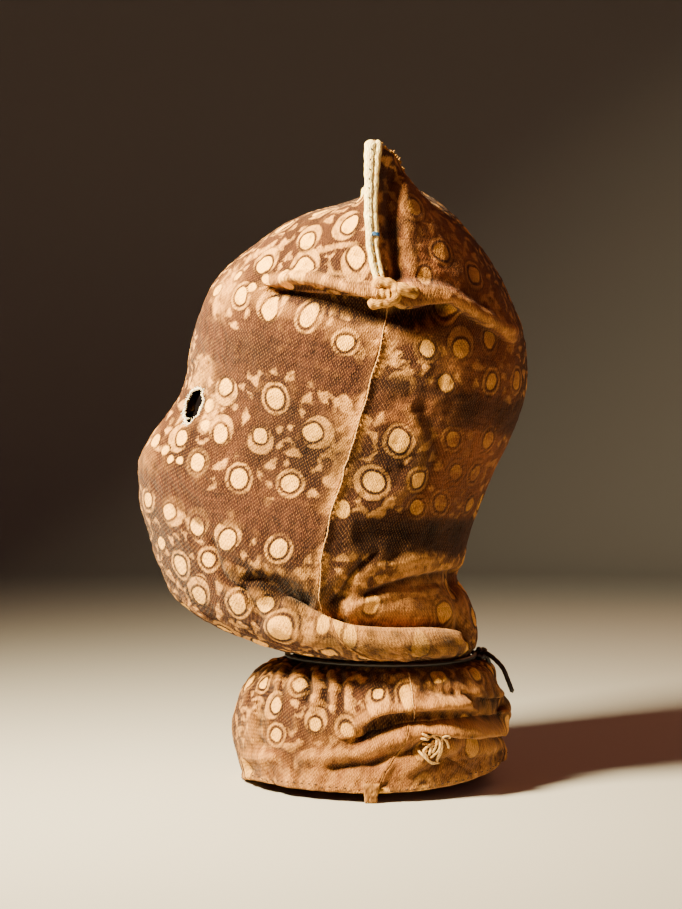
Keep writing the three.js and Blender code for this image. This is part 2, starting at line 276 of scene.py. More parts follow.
# The creases
# Finer creases and laps pressed into the folded cloth by wear and storage. Each follows a
# path over a side seen square on, in pixels of the photograph. Those of the left side lie
# where it shows them, and the right side has its own, plainer ones.
left_creases = [
    # height, width, lap, panels, path; first the tuck under the ear
    (5, 2.6, 3, "both", [(276, 283), (290, 282), (307, 283), (325, 286), (345, 291),
                         (366, 296), (392, 299)]),
    (4, 3, 0, "both", [(288, 277), (302, 276), (320, 277), (345, 284), (376, 291)]),
    (-8.5, 6.5, 0, "both", [(276, 290), (292, 294), (312, 300), (340, 309), (366, 316),
                            (392, 319), (420, 317), (442, 311)]),
    (2.6, 3, 3, "nape", [(392, 308), (411, 308), (428, 304), (446, 302)]),
    (2.6, 4, 0, "nape", [(396, 287), (426, 289), (440, 291), (461, 302), (478, 312),
                         (495, 323), (511, 331)]),
    (-1.8, 4, 0, "nape", [(402, 276), (425, 279), (444, 282), (466, 293), (486, 305)]),
    # behind the ear
    (3, 5.5, 0, "nape", [(386, 160), (388, 200), (390, 240), (390, 268)]),
    # the cheek
    (-2.8, 2.2, 0, "face", [(214, 544), (218, 560), (223, 573), (231, 583), (243, 590)]),
    (-6, 5.5, 0, "face", [(250, 579), (270, 581), (288, 589), (306, 601)]),
    (-2.8, 1.4, 0, "face", [(243, 592), (250, 600), (257, 610)]),
    (1.8, 3, 0, "face", [(228, 566), (240, 574), (250, 573)]),
    (2, 3.4, 0, "face", [(262, 596), (282, 604), (300, 613)]),
    # the valley of the jaw and the thick roll under it
    (-5.4, 3.4, 6.5, "both", [(292, 600), (311, 610), (330, 620), (350, 627), (375, 630),
                              (400, 631), (432, 631), (457, 635), (464, 644)]),
    (2.6, 6, 0, "both", [(316, 636), (350, 643), (380, 646), (420, 647), (452, 647)]),
    (-2.4, 2.4, 0, "both", [(322, 603), (333, 601), (346, 596)]),
    (-3.8, 2.5, 0, "nape", [(336, 597), (345, 585), (352, 574), (362, 564), (374, 555)]),
    (2.2, 3.4, 0, "nape", [(345, 601), (357, 586), (372, 571), (398, 561), (430, 558)]),
    (-4.4, 2.6, 0, "nape", [(368, 594), (378, 590), (392, 584), (412, 579), (432, 576),
                            (456, 572)]),
    (2.4, 3.2, 0, "nape", [(352, 608), (367, 601), (381, 597), (402, 593), (432, 590)]),
    (-2.6, 2.8, 0, "nape", [(451, 582), (457, 605), (461, 625), (462, 642)]),
    (-2.6, 11, 0, "nape", [(360, 536), (400, 534), (440, 532), (468, 530)]),
    # the collar's pleats under the cord
    (1.8, 1.8, 0, "face", [(286, 667), (279, 678), (276, 688)]),
    (-1.8, 1.8, 0, "face", [(292, 667), (285, 680), (282, 690)]),
    (-4.4, 2.2, 0, "face", [(309, 674), (308, 688), (305, 699)]),
    (2.8, 2.2, 0, "face", [(316, 677), (317, 692), (315, 706)]),
    (-2.8, 1.8, 0, "face", [(325, 676), (326, 690), (324, 703)]),
    (2.4, 2, 0, "face", [(333, 679), (334, 694), (333, 709)]),
    (-2, 1.8, 0, "face", [(341, 678), (341, 692), (343, 702)]),
    (2, 2, 0, "face", [(348, 680), (348, 696), (351, 711)]),
    (2, 3, 0, "both", [(384, 676), (398, 677), (412, 680)]),
    # its front
    (-3.2, 4, 0, "face", [(267, 690), (260, 708), (257, 725), (259, 742)]),
    (-2.6, 3, 0, "face", [(259, 741), (268, 748), (284, 752), (300, 750)]),
    (2.6, 4, 0, "face", [(249, 756), (264, 757), (280, 753), (298, 748)]),
    # its deep lap, the pit at its left end and the lap under it
    (5.4, 3, 6, "both", [(364, 724), (375, 717), (388, 713), (404, 711), (434, 709),
                         (465, 708), (500, 710)]),
    (-8, 4.4, 0, "both", [(362, 736), (372, 730), (388, 724), (404, 720), (434, 718),
                          (465, 717), (500, 718)]),
    (2, 4.5, 0, "both", [(378, 708), (410, 706), (450, 704), (490, 706)]),
    (4, 2.6, 5.5, "nape", [(432, 732), (450, 734), (465, 735), (480, 734), (502, 732)]),
    (-2, 2.4, 0, "nape", [(425, 689), (450, 693), (472, 698)]),
    (4.8, 2.8, 6, "nape", [(468, 692), (480, 695), (494, 696), (507, 693), (515, 687)]),
    (-7, 3.4, 0, "nape", [(476, 703), (486, 706), (497, 707), (509, 704)]),
    (2.2, 3, 0, "nape", [(466, 671), (482, 677), (493, 689)]),
    # the lower valley, the back lobe and the stitched hem
    (3, 4.2, 0, "both", [(306, 757), (338, 756), (365, 752), (388, 744), (408, 737)]),
    (-3.8, 3.6, 0, "both", [(332, 768), (350, 766), (373, 764), (393, 757), (416, 749),
                            (430, 742)]),
    (2.6, 6, 0, "nape", [(452, 746), (475, 747), (496, 746)]),
    (-2.6, 3.4, 0, "nape", [(438, 765), (452, 758), (464, 750)]),
    (-2, 1.4, 0, "nape", [(452, 761), (458, 765), (465, 769)]),
    (-1.1, 1.6, 0, "both", [(252, 769), (275, 782), (290, 788), (326, 792), (363, 788),
                            (404, 777), (434, 768), (465, 760), (496, 752)]),
    # the edge that turns away to the back of the head
    (1.8, 7, 0, "nape", [(408, 410), (418, 428), (422, 450), (416, 476), (398, 502)]),
    (-2.4, 5, 0, "nape", [(420, 408), (430, 428), (434, 450), (428, 478), (408, 510)]),
    # round the eye and on the brow
    (-1.3, 1.8, 0, "face", [(187, 386), (192, 372), (199, 358)]),
    (1.4, 2, 0, "face", [(193, 390), (199, 374), (205, 362)]),
    (-1.2, 1.8, 0, "face", [(203, 390), (207, 374), (213, 362)]),
    (1.2, 3, 0, "face", [(200, 420), (210, 428), (222, 424)]),
    (-1, 5, 0, "face", [(232, 268), (222, 300), (212, 330)]),
]
right_creases = [
    # the tuck and the ear
    (3.4, 3.2, 6, "both", [(270, 284), (316, 297), (354, 307), (399, 313), (440, 308)]),
    (2, 4, 0, "nape", [(400, 290), (436, 293), (470, 310), (500, 328)]),
    (1.8, 2.4, 0, "nape", [(399, 175), (401, 223), (405, 258)]),
    (-1.8, 2.4, 0, "nape", [(389, 178), (391, 222), (394, 262)]),
    # the cheek, the jaw and the nape
    (-2.8, 3, 0, "face", [(233, 562), (255, 582), (284, 598), (313, 609)]),
    (-4, 3.6, 4, "both", [(268, 604), (319, 620), (370, 631), (418, 634), (462, 634)]),
    (2.2, 5, 0, "both", [(300, 634), (360, 644), (440, 647)]),
    (-2.4, 3, 0, "both", [(351, 598), (372, 588), (402, 578), (440, 570)]),
    (2, 4, 0, "both", [(329, 607), (367, 607), (412, 600)]),
    # the collar
    (3.6, 3, 6, "both", [(332, 731), (380, 722), (437, 717), (495, 719)]),
    (4, 3.4, 6, "nape", [(453, 700), (482, 705), (511, 704)]),
    (-3, 2.4, 0, "face", [(302, 675), (304, 692), (302, 706)]),
    (2.2, 2.6, 0, "face", [(312, 676), (314, 694), (313, 708)]),
    (-2.2, 2.2, 0, "face", [(331, 677), (333, 692), (336, 704)]),
    (-2.6, 4, 0, "face", [(270, 690), (262, 712), (262, 738)]),
    (-2.8, 3.6, 0, "both", [(300, 764), (345, 767), (396, 757)]),
    (2.4, 4.5, 0, "both", [(310, 752), (350, 752), (400, 742)]),
]
crease_taper = 7
crease_fade = 14
sewn_width = 6
bag_half_width = 163

# Pleats run from the cord, and soft buckles all over: height in mm, size in mm, seed
pleat_length = 13
pleat_depth = 1.7
pleat_reach = 15
pleat_start = 5
pleat_wander = 2.2
pleat_wander_size = 60
neck_fade = 0.5
buckles = [(0.55, 46, 5), (0.34, 17, 6), (0.2, 7, 7)]
head_looseness = 0.55
collar_looseness = 0.7
collar_down = 290
collar_blend = 60

# The seam stands up in a ridge below the ears
seam_ridge = 1.1
seam_ridge_width = 2.4
seam_ridge_station = 4.6
seam_ridge_start = 0.6

# Waves are a sum of this many, spread about their size
waves_laid = 10
wave_spread = (0.65, 1.6)
wave_height = 3.2


def waves(across, down, size, seed):
    """Soft uneven waves about a size in millimetres long, mostly between -1 and 1."""
    chance = np.random.default_rng(seed)
    total = np.zeros(across.shape)
    for _ in range(waves_laid):
        angle, start = chance.uniform(0, np.pi), chance.uniform(0, 2 * np.pi)
        turns = 2 * np.pi / (size * chance.uniform(*wave_spread))
        total += np.sin((across * np.cos(angle) + down * np.sin(angle)) * turns + start)
    return total / wave_height


def facing(places, forward):
    """Which way the cloth faces at each place, out of the hood."""
    down = np.gradient(places, axis=0)
    over = np.gradient(places, axis=1)
    return unit(np.cross(over, down) * forward)


def cloth_measures(places):
    """Millimetres across the cloth from its middle, as in the flat bag, and down it from the
    crown."""
    steps = np.linalg.norm(np.diff(places, axis=0), axis=-1)
    down = np.vstack([np.zeros((1, places.shape[1])), np.cumsum(steps, axis=0)])
    steps = np.linalg.norm(np.diff(places, axis=1), axis=-1)
    over = np.hstack([np.zeros((places.shape[0], 1)), np.cumsum(steps, axis=1)])
    over = over - over[:, [places.shape[1] // 2]]
    half = (over[:, [-1]] - over[:, [0]]) / 2
    return over / half * bag_half_width, down


def crease(panel, places, normal, station, ear_tip):
    """Presses the fine creases, the pleats at the neck and the soft waves into the cloth."""
    over, down = cloth_measures(places)
    neck = smooth((np.abs(station - neck_station) - neck_band) / neck_fade)[:, None]
    calm = neck * (1 - ear_tip)
    inside = smooth((bag_half_width - np.abs(over)) / sewn_width)
    beside = places.copy()
    beside[..., 0] = np.abs(beside[..., 0])
    photo_step = np.array([pixel_size, -pixel_size])
    seen = in_photo(beside) * photo_step
    moved = places.copy()
    for side, creases in ((1, left_creases), (-1, right_creases)):
        of_side = smooth(side * places[..., 0] / crease_fade)
        for height, width, lap, panels, pixels in creases:
            if panels not in ("both", panel):
                continue
            path = np.array(pixels) * photo_step
            reach = width * fold_reach * 2 + crease_taper
            above, past = beside_path(path, seen[..., 0], seen[..., 1], reach)
            held = of_side * calm * (1 - smooth(past / crease_taper))
            if panels != "both":
                held = held * inside
            outwards, fall = moved_by_fold(above, height, width, lap)
            moved += normal * (outwards * held)[..., None]
            moved[..., 2] -= fall * held
    neck_down = np.array([np.interp(neck_station, station, column) for column in down.T])
    from_neck = np.abs(down - neck_down)
    wander = pleat_wander * waves(over, down, pleat_wander_size, 3)
    pleats = np.sin(over * 2 * np.pi / pleat_length + wander)
    pleats *= np.exp(-from_neck / pleat_reach) * smooth(from_neck / pleat_start) * calm
    wide, small, fine = (height * waves(over, down, size, seed) for height, size, seed in buckles)
    loose = head_looseness + collar_looseness * smooth((down - collar_down) / collar_blend)
    rise = pleat_depth * pleats + ((wide + small) * loose + fine) * calm
    edge = np.exp(-(((bag_half_width - np.abs(over)) / seam_ridge_width) ** 2))
    rise += seam_ridge * edge * calm * smooth(
        (station - seam_ridge_station) / seam_ridge_start)[:, None]
    return moved + normal * rise[..., None]


# The two cloth panels
# Handspun cotton in plain weave, 1.6 mm thick with its fuzz. Both panels are folded and
# creased as above, butted where they are sewn, cut for the eyes in front, and turned up at
# the foot into a stitched hem.
cloth_thickness = 1.6
hem_depth = 8
hem_thickness = 4
hem_lift_left = 6
hem_lift_nape = 14
face_lift_reach = 0.4
nape_lift_reach = 0.45
hem_turn = 1.5
sewing_gap = 0.3
seam_lean = 0.3
seam_blend = 14
ear_tip_width = 0.5
ear_tip_depth = 3.8
eye_place = np.array([33, -89.5, 249.5])
eye_aim = np.array([0.6, -0.8, 0])
eye_width = 18.5
eye_height = 23.5
eye_slant = 0.02
eye_waviness = (0.07, 0.04)
socket_depth = 3
socket_width = 17

# Where the foot of the cloth lies flat, this share of the bag tells which way is out
foot_share = 0.01

# The mesh, and the millimetres between two of its rows, closest where the cloth is folded
columns = 196
trial_columns = 201
trial_rows = 481
row_spacing = [(0, 1.7), (2.6, 1.5), (3, 1.15), (5, 1.15), (6.5, 1.9), (11.5, 1.9),
               (13, 1.15), (24, 1.15)]


def even_mesh():
    """Columns and rows that are evenly spaced over both panels."""
    trial_across = np.linspace(-1, 1, trial_columns)
    trial_station = np.linspace(0, hem_station, trial_rows)
    widths, lengths = [], []
    for panel in ("face", "nape"):
        places = bag_places(panel, trial_across, trial_station)
        over = np.linalg.norm(np.diff(places, axis=1), axis=-1).mean(axis=0)
        down = np.linalg.norm(np.diff(places, axis=0), axis=-1).mean(axis=1)
        widths.append(over)
        lengths.append(down)
    width = np.concatenate([[0], np.cumsum(np.mean(widths, axis=0))])
    across = np.interp(np.linspace(0, width[-1], columns + 1), width, trial_across)
    spacing = np.interp(trial_station[1:], *np.array(row_spacing).T)
    count = np.concatenate([[0], np.cumsum(np.mean(lengths, axis=0) / spacing)])
    rows = 2 * round(count[-1] / 2)
    station = np.interp(np.linspace(0, count[-1], rows + 1), count, trial_station)
    across = (across - across[::-1]) / 2
    return across, station


def hem_lift(panel, across):
    """The hem lies on the ground on the right side, and lifts on the left and at the nape."""
    if panel == "face":
        return hem_lift_left * smooth(across / face_lift_reach)
    lift = hem_lift_nape + (hem_lift_left - hem_lift_nape) * smooth(across)
    return np.where(across < 0, hem_lift_nape * smooth(1 + across / nape_lift_reach), lift)


def level_hem(panel, places, across, station):
    """Brings the last rows to the height of the hem, and none below it."""
    lift = hem_lift(panel, across)
    flat = smooth((station - hem_top) / (hem_station - hem_top))[:, None]
    places[..., 2] += flat * (lift - places[..., 2])
    places[..., 2] = np.maximum(places[..., 2], lift)
    return places


def sink_eyes(places):
    """Lets the cloth sink into the sockets about the eyes."""
    for side in (1, -1):
        from_eye = places - eye_place * (side, 1, 1)
        sunk = socket_depth * np.exp(-(from_eye**2).sum(axis=-1) / socket_width**2)
        places = places - (eye_aim * (side, 1, 1)) * sunk[..., None]
    return places


across, station = even_mesh()
ear_tip = 1 - smooth((1 - np.abs(across)) / ear_tip_width)
ear_tip = ear_tip * (1 - smooth(station / ear_tip_depth))[:, None]
forward = {"face": -1, "nape": 1}
other = {"face": "nape", "nape": "face"}

unfolded, folded, bag_normal = {}, {}, {}
for panel in forward:
    unfolded[panel] = bag_places(panel, across, station)
    bag_normal[panel] = facing(unfolded[panel], forward[panel])
    laid = fold_bag(panel, unfolded[panel], across, station)
    folded[panel] = level_hem(panel, laid, across, station)
folded["face"] = sink_eyes(folded["face"])

# Both panels move together at their seams, along the mean of the ways they face.
cloth, over_cloth, down_cloth = {}, {}, {}
for panel in forward:
    over, down = cloth_measures(folded[panel])
    over_cloth[panel], down_cloth[panel] = over, down
    mean = unit(bag_normal[panel] + bag_normal[other[panel]])
    edge_mean = np.where(over[..., None] > 0, mean[:, [-1]], mean[:, [0]])
    near_side = smooth((np.abs(over) - bag_half_width + seam_blend) / seam_blend)[..., None]
    near_crown = (1 - smooth(down / seam_blend))[..., None]
    normal = bag_normal[panel] * (1 - near_side) + edge_mean * near_side
    normal = unit(normal * (1 - near_crown) + mean[[0]] * near_crown)
    moved = crease(panel, folded[panel], normal, station, ear_tip)
    cloth[panel] = level_hem(panel, moved, across, station)


def skins(panel):
    """The outer and inner skin of a panel, drawn apart by its thickness."""
    places = cloth[panel]
    normal = facing(places, forward[panel])
    normal[-1] += foot_share * bag_normal[panel][-1]
    normal[-1, :, 2] = 0
    normal[-1] = unit(normal[-1])
    behind = facing(cloth[other[panel]], forward[other[panel]])
    away = normal - behind
    away[..., 1] += forward[panel] * seam_lean
    away = unit(away)
    to_hem = down_cloth[panel][-1] - down_cloth[panel]
    turned = smooth((hem_depth - to_hem) / hem_turn + 0.5)
    thickness = cloth_thickness + (hem_thickness - cloth_thickness) * turned
    sewn = ear_tip.copy()
    sewn[0], sewn[:, 0], sewn[:, -1] = 1, 1, 1
    apart = sewing_gap / 2 + np.abs((normal * away).sum(axis=-1)) * thickness / 2
    shift = away * (sewn * apart)[..., None]
    outer = places + normal * (thickness / 2)[..., None] + shift
    inner = places - normal * (thickness / 2)[..., None] + shift
    for skin in (outer, inner):
        skin[-1, :, 2] = places[-1, :, 2]
        skin[..., 2] = np.maximum(skin[..., 2], places[-1, :, 2])
    return outer, inner


outer_skin, inner_skin = {}, {}
for panel in forward:
    outer_skin[panel], inner_skin[panel] = skins(panel)


def beside_eye(places, side):
    """How far places lie from the middle of an eye hole, 1 at its edge, their millimetres
    level and up from it, and its level way."""
    aim = eye_aim * (side, 1, 1)
    level = np.array([aim[1], -aim[0], 0])
    from_eye = places - eye_place * (side, 1, 1)
    v = from_eye[..., 2]
    h = from_eye @ level - side * eye_slant * v
    turn = np.arctan2(v, h)
    rim = 1 + eye_waviness[0] * np.sin(3 * turn + 1) + eye_waviness[1] * np.sin(7 * turn)
    size = np.hypot(h / (eye_width / 2), v / (eye_height / 2)) / rim
    far = np.linalg.norm(from_eye, axis=-1) > 3 * eye_height
    return np.where(far, np.inf, size), h, v, level


def cut_eyes(outer, inner, kept):
    """Takes the cells of the eye holes out and draws their edges onto the oval outlines."""
    for side in (1, -1):
        cells = (outer[:-2:2, :-2:2] + outer[2::2, 2::2]) / 2
        gone = beside_eye(cells, side)[0] < 1
        kept &= ~gone
        touched = np.zeros(outer.shape[:2], bool)
        for i, j in zip(*np.nonzero(gone)):
            touched[2 * i:2 * i + 3, 2 * j:2 * j + 3] = True
        for skin in (outer, inner):
            size, h, v, level = beside_eye(skin, side)
            scale = np.where(touched, 1 / np.maximum(size, 1e-6) - 1, 0)
            skin += ((h + side * eye_slant * v) * scale)[..., None] * level
            skin[..., 2] += v * scale


def closed_cloth(name, outer, inner, kept, flip):
    """A closed mesh of an outer skin, an inner skin at half its density, and their rims."""
    rows, across_count = outer.shape[:2]
    half = inner[::2, ::2]
    places = np.concatenate([outer.reshape(-1, 3), half.reshape(-1, 3)])
    number = np.arange(rows * across_count).reshape(rows, across_count)
    inside = rows * across_count + np.arange(half[..., 0].size).reshape(half.shape[:2])
    fine = np.repeat(np.repeat(kept, 2, axis=0), 2, axis=1)
    quads = np.stack([number[:-1, :-1], number[:-1, 1:], number[1:, 1:], number[1:, :-1]], -1)
    linings = np.stack([inside[:-1, :-1], inside[1:, :-1], inside[1:, 1:], inside[:-1, 1:]], -1)
    faces = np.concatenate([quads[fine], linings[kept]])
    open_side = np.pad(~kept, 1, constant_values=True)
    rims = []
    for i, j in zip(*np.nonzero(kept)):
        corners = [(i, j), (i, j + 1), (i + 1, j + 1), (i + 1, j)]
        beside = [(i, j + 1), (i + 1, j + 2), (i + 2, j + 1), (i + 1, j)]
        for k in range(4):
            if not open_side[beside[k]]:
                continue
            (pi, pj), (qi, qj) = corners[k], corners[(k + 1) % 4]
            rims.append([number[2 * qi, 2 * qj], number[pi + qi, pj + qj],
                         number[2 * pi, 2 * pj], inside[pi, pj], inside[qi, qj]])
    rims = np.array(rims)
    if flip:
        faces, rims = faces[:, ::-1], rims[:, ::-1]
    mesh = bpy.data.meshes.new(name)
    mesh.vertices.add(len(places))
    mesh.vertices.foreach_set("co", (places * metre).ravel())
    mesh.loops.add(faces.size + rims.size)
    mesh.loops.foreach_set("vertex_index", np.concatenate([faces.ravel(), rims.ravel()]))
    starts = np.concatenate([np.arange(len(faces)) * 4, faces.size + np.arange(len(rims)) * 5])
    mesh.polygons.add(len(faces) + len(rims))
    mesh.polygons.foreach_set("loop_start", starts)
    mesh.update(calc_edges=True)
    mesh.validate()
    mesh.shade_smooth()
    return put_in_scene(name, mesh)


# The print
# Cream ring spots are left on the brown dyed cloth, a disc inside a thin brown line and a
# pale ring or crescent, with odd pale scraps between them. A darker band is painted across
# each panel above the eyes and over the mouth.

# The spots and scraps of the left side: pixel of the middle, radius in mm and kind
left_spots = [
    (350, 225, 6.2, "front"), (308, 241, 6, "above"), (264, 264, 6.2, "above"),
    (303, 269, 6.6, "above"), (356, 257, 6, "below"), (265, 280, 4.2, "disc"),
    (284, 282, 4.6, "disc"), (309, 271, 4, "patch"), (326, 273, 4.4, "patch"),
    (344, 279, 4, "patch"), (306, 279, 3, "patch"), (361, 291, 4, "patch"),
    (374, 297, 4, "patch"), (241, 296, 5.6, "ring"), (252, 288, 3.4, "disc"),
    (238, 276, 3.4, "disc"), (218, 290, 4.2, "disc"), (213, 316, 4.6, "patch"),
    (229, 262, 3.6, "patch"), (270, 310, 5.8, "above"), (309, 316, 5.6, "ring"),
    (350, 329, 3, "disc"), (344, 342, 5, "ring"), (358, 354, 5, "patch"),
    (254, 375, 4.6, "patch"), (366, 334, 4, "patch"), (226, 386, 5.4, "below"),
    (209, 362, 4, "patch"), (275, 399, 6.3, "ring"), (203, 376, 3.4, "patch"),
    (324, 397, 3.6, "patch"), (333, 402, 3.4, "patch"), (306, 399, 3.4, "patch"),
    (344, 401, 3.8, "patch"), (348, 409, 4, "patch"), (352, 420, 3.4, "patch"),
    (246, 416, 3.4, "patch"), (210, 406, 4.6, "disc"), (205, 424, 3.8, "disc"),
    (220, 433, 5.6, "above"), (181, 438, 5, "front"), (155, 441, 4.6, "disc"),
    (259, 436, 4.8, "below"), (312, 432, 6, "back"), (198, 463, 5.4, "faint"),
    (165, 451, 3.4, "disc"), (171, 458, 2.8, "disc"), (180, 461, 2.8, "disc"),
    (238, 478, 6.2, "ring"), (290, 483, 5.6, "ring"), (293, 453, 3.6, "patch"),
    (268, 500, 3, "patch"), (329, 480, 4, "patch"), (341, 446, 4, "patch"),
    (330, 506, 3.4, "patch"), (168, 512, 5.4, "back"), (148, 500, 5, "ring"),
    (197, 525, 5.6, "above"), (199, 539, 3.4, "patch"), (227, 539, 6.2, "above"),
    (279, 549, 5.8, "ring"), (254, 562, 4, "patch"), (181, 564, 6.4, "ring"),
    (208, 560, 4.6, "ring"), (162, 543, 4.4, "disc"), (157, 522, 3.6, "patch"),
    (171, 540, 2.6, "patch"), (184, 534, 2.4, "patch"), (199, 595, 6.4, "above"),
    (236, 605, 6.2, "ring"), (219, 588, 3, "patch"), (203, 577, 2.6, "patch"),
    (267, 604, 5, "faint"), (279, 630, 8, "ring"), (242, 572, 3, "patch"), (304, 573, 4, "patch"),
    (311, 632, 5, "patch"), (322, 623, 4, "disc"), (335, 630, 4.6, "disc"),
    (350, 637, 4.4, "disc"), (302, 616, 4.6, "patch"), (338, 636, 7, "patch"),
    (354, 644, 6, "patch"), (420, 648, 6, "faint"), (386, 640, 6, "patch"),
    (398, 441, 6.8, "ring"), (373, 482, 6.6, "wide"), (418, 480, 5, "ring"),
    (379, 419, 3.4, "patch"), (371, 437, 4.6, "patch"), (367, 457, 4, "patch"),
    (357, 494, 4.6, "patch"), (343, 510, 5.4, "disc"), (361, 512, 4.2, "patch"),
    (380, 512, 4.4, "patch"), (391, 502, 3.4, "patch"), (406, 460, 3, "patch"),
    (425, 446, 3.4, "patch"), (445, 384, 5.4, "disc"), (492, 383, 4.8, "ring"),
    (517, 380, 5.6, "ring"), (461, 350, 5.6, "above"), (428, 348, 5, "faint"),
    (489, 338, 5.4, "faint"), (444, 351, 2.6, "patch"), (444, 304, 5.6, "ring"),
    (453, 440, 5, "ring"), (489, 440, 5.4, "ring"), (457, 472, 5, "faint"),
    (440, 504, 5.4, "ring"), (418, 507, 4.6, "faint"), (475, 474, 5, "ring"),
    (470, 505, 5, "faint"), (441, 251, 5.6, "ring"), (475, 274, 5.4, "ring"),
    (424, 277, 4.6, "faint"), (414, 208, 5.4, "ring"), (391, 206, 5, "disc"),
    (437, 216, 4, "patch"), (463, 233, 4.6, "patch"), (402, 331, 4.4, "patch"),
    (471, 314, 4.4, "patch"), (504, 324, 4.6, "patch"), (456, 380, 4, "patch"),
    (423, 367, 4, "patch"), (399, 375, 5, "patch"), (412, 386, 3.4, "patch"),
    (392, 353, 3.4, "patch"), (396, 362, 3, "patch"), (478, 366, 3.6, "patch"),
    (508, 400, 3.4, "patch"), (428, 300, 3.4, "patch"), (408, 568, 6, "patch"),
    (372, 604, 5.4, "faint"), (409, 594, 6, "patch"), (445, 612, 6, "faint"),
    (350, 574, 5, "patch"), (264, 684, 3.8, "ring"), (299, 684, 4.4, "ring"),
    (276, 705, 5, "front"), (250, 709, 5, "patch"), (259, 700, 3.4, "patch"),
    (322, 706, 3.2, "patch"), (348, 701, 4.2, "patch"), (350, 711, 3, "patch"),
    (378, 693, 3.4, "below"), (391, 679, 3.4, "patch"), (407, 695, 6, "ring"),
    (453, 705, 4.4, "patch"), (315, 724, 4, "above"), (277, 735, 4.4, "ring"),
    (347, 732, 4, "ring"), (371, 748, 4.6, "patch"), (340, 757, 4.6, "patch"),
    (325, 755, 4.4, "patch"), (308, 755, 4.6, "patch"), (308, 779, 5, "patch"),
    (368, 776, 5, "patch"), (291, 747, 3.6, "patch"), (475, 673, 4, "ring"),
    (363, 679, 3, "patch"), (256, 742, 4, "patch"), (420, 748, 5, "faint"),
    (474, 745, 5.4, "faint"), (262, 762, 4.4, "patch"), (396, 735, 4, "patch"),
    (330, 776, 4, "patch"), (197, 380, 5, "patch"), (206, 394, 3.4, "patch"),
    (183, 403, 4.4, "patch"), (178, 424, 5, "patch"), (190, 382, 3.4, "patch"),
    (390, 251, 3.4, "patch"), (382, 191, 3, "patch"),
]

# How the pale ring round a disc lies: the gap between them in mm, how far beyond the disc it
# reaches, which way it is shifted and by how much, and how strong it is
marks_round = {
    "patch": (0, 0, (0, 0), 0, 0), "disc": (1.2, 0, (0, 0), 0, 0),
    "faint": (1.6, 3.8, (0, 0), 0, 0.35),
    "ring": (1.9, 3.9, (0, 0), 0.5, 1), "wide": (2, 5, (-1, 0.6), 1, 1),
    "above": (1.7, 4.1, (0, -1), 2.6, 1), "below": (1.7, 4.3, (0, 1), 2.8, 1),
    "front": (1.7, 4.6, (-1, 0), 3.4, 1), "back": (1.7, 4.6, (1, 0), 3.2, 1),
}

# The rest of the cloth is strewn with spots and scraps as closely
strewn_kinds = ["ring", "ring", "ring", "wide", "above", "below", "front", "back", "disc",
                "faint"]
strewn_sizes = (5.2, 6.8)
strewn_tries = 2500
ring_gap = 2.6
scrap_sizes = (1.8, 4.2)
scrap_tries = 9000
scrap_gap = 1.3
seen_facing = 0.12

# How long a scrap may be for its width, how far it reaches, and the share of the scraps
# that are bitten, each by this share of its radius
scrap_longest = 1.5
scrap_reach = 2.2
bitten_share = 0.4
bite_size = 0.85

# No disc is round: its outline is oval and wavy. Brown lines run beside the disc and, thinner,
# round the ring, in mm, and the rings and scraps keep clear of the discs.
oval_share, wavy_share = 0.07, 0.05
disc_line = 1
ring_line = 0.6
ring_line_thinner = 0.4
ring_clearance = 1.2
scrap_clearance = 1.5
spot_reach = 26
unmarked = 50.0

# Pale strokes of dye: half width in mm and the pixels of their path
stroke_reach = 9
pale_strokes = [
    (1.6, [(316, 252), (337, 246), (356, 244)]), (1.2, [(333, 273), (350, 275), (365, 282)]),
    (1.8, [(222, 284), (217, 302), (213, 320)]), (1.3, [(246, 260), (262, 251), (281, 248)]),
    (4, [(216, 399), (210, 414), (204, 428)]), (1.2, [(330, 432), (333, 446), (324, 456)]),
    (1.2, [(270, 746), (282, 745), (292, 747)]), (2.8, [(390, 242), (389, 252), (387, 266)]),
    (1, [(404, 243), (403, 256), (407, 266)]), (2.2, [(322, 623), (345, 632), (372, 640)]),
    (1.6, [(166, 447), (160, 449), (155, 447)]), (1, [(386, 354), (394, 351), (402, 354)]),
    (1, [(388, 362), (396, 365), (404, 361)]), (1.2, [(484, 296), (500, 318), (508, 340)]),
    (1.2, [(262, 700), (258, 708), (263, 718)]),
]

# The bands: half the width in mm and the pixels of the middle lines
bands = [
    (12, {"face": [(214, 342), (262, 346), (300, 353), (361, 376)],
          "nape": [(388, 396), (440, 411), (495, 415), (522, 417)]}),
    (11, {"face": [(150, 478), (172, 486), (222, 505), (284, 521), (319, 531)],
          "nape": [(335, 537), (400, 536), (440, 534), (470, 533)]}),
]

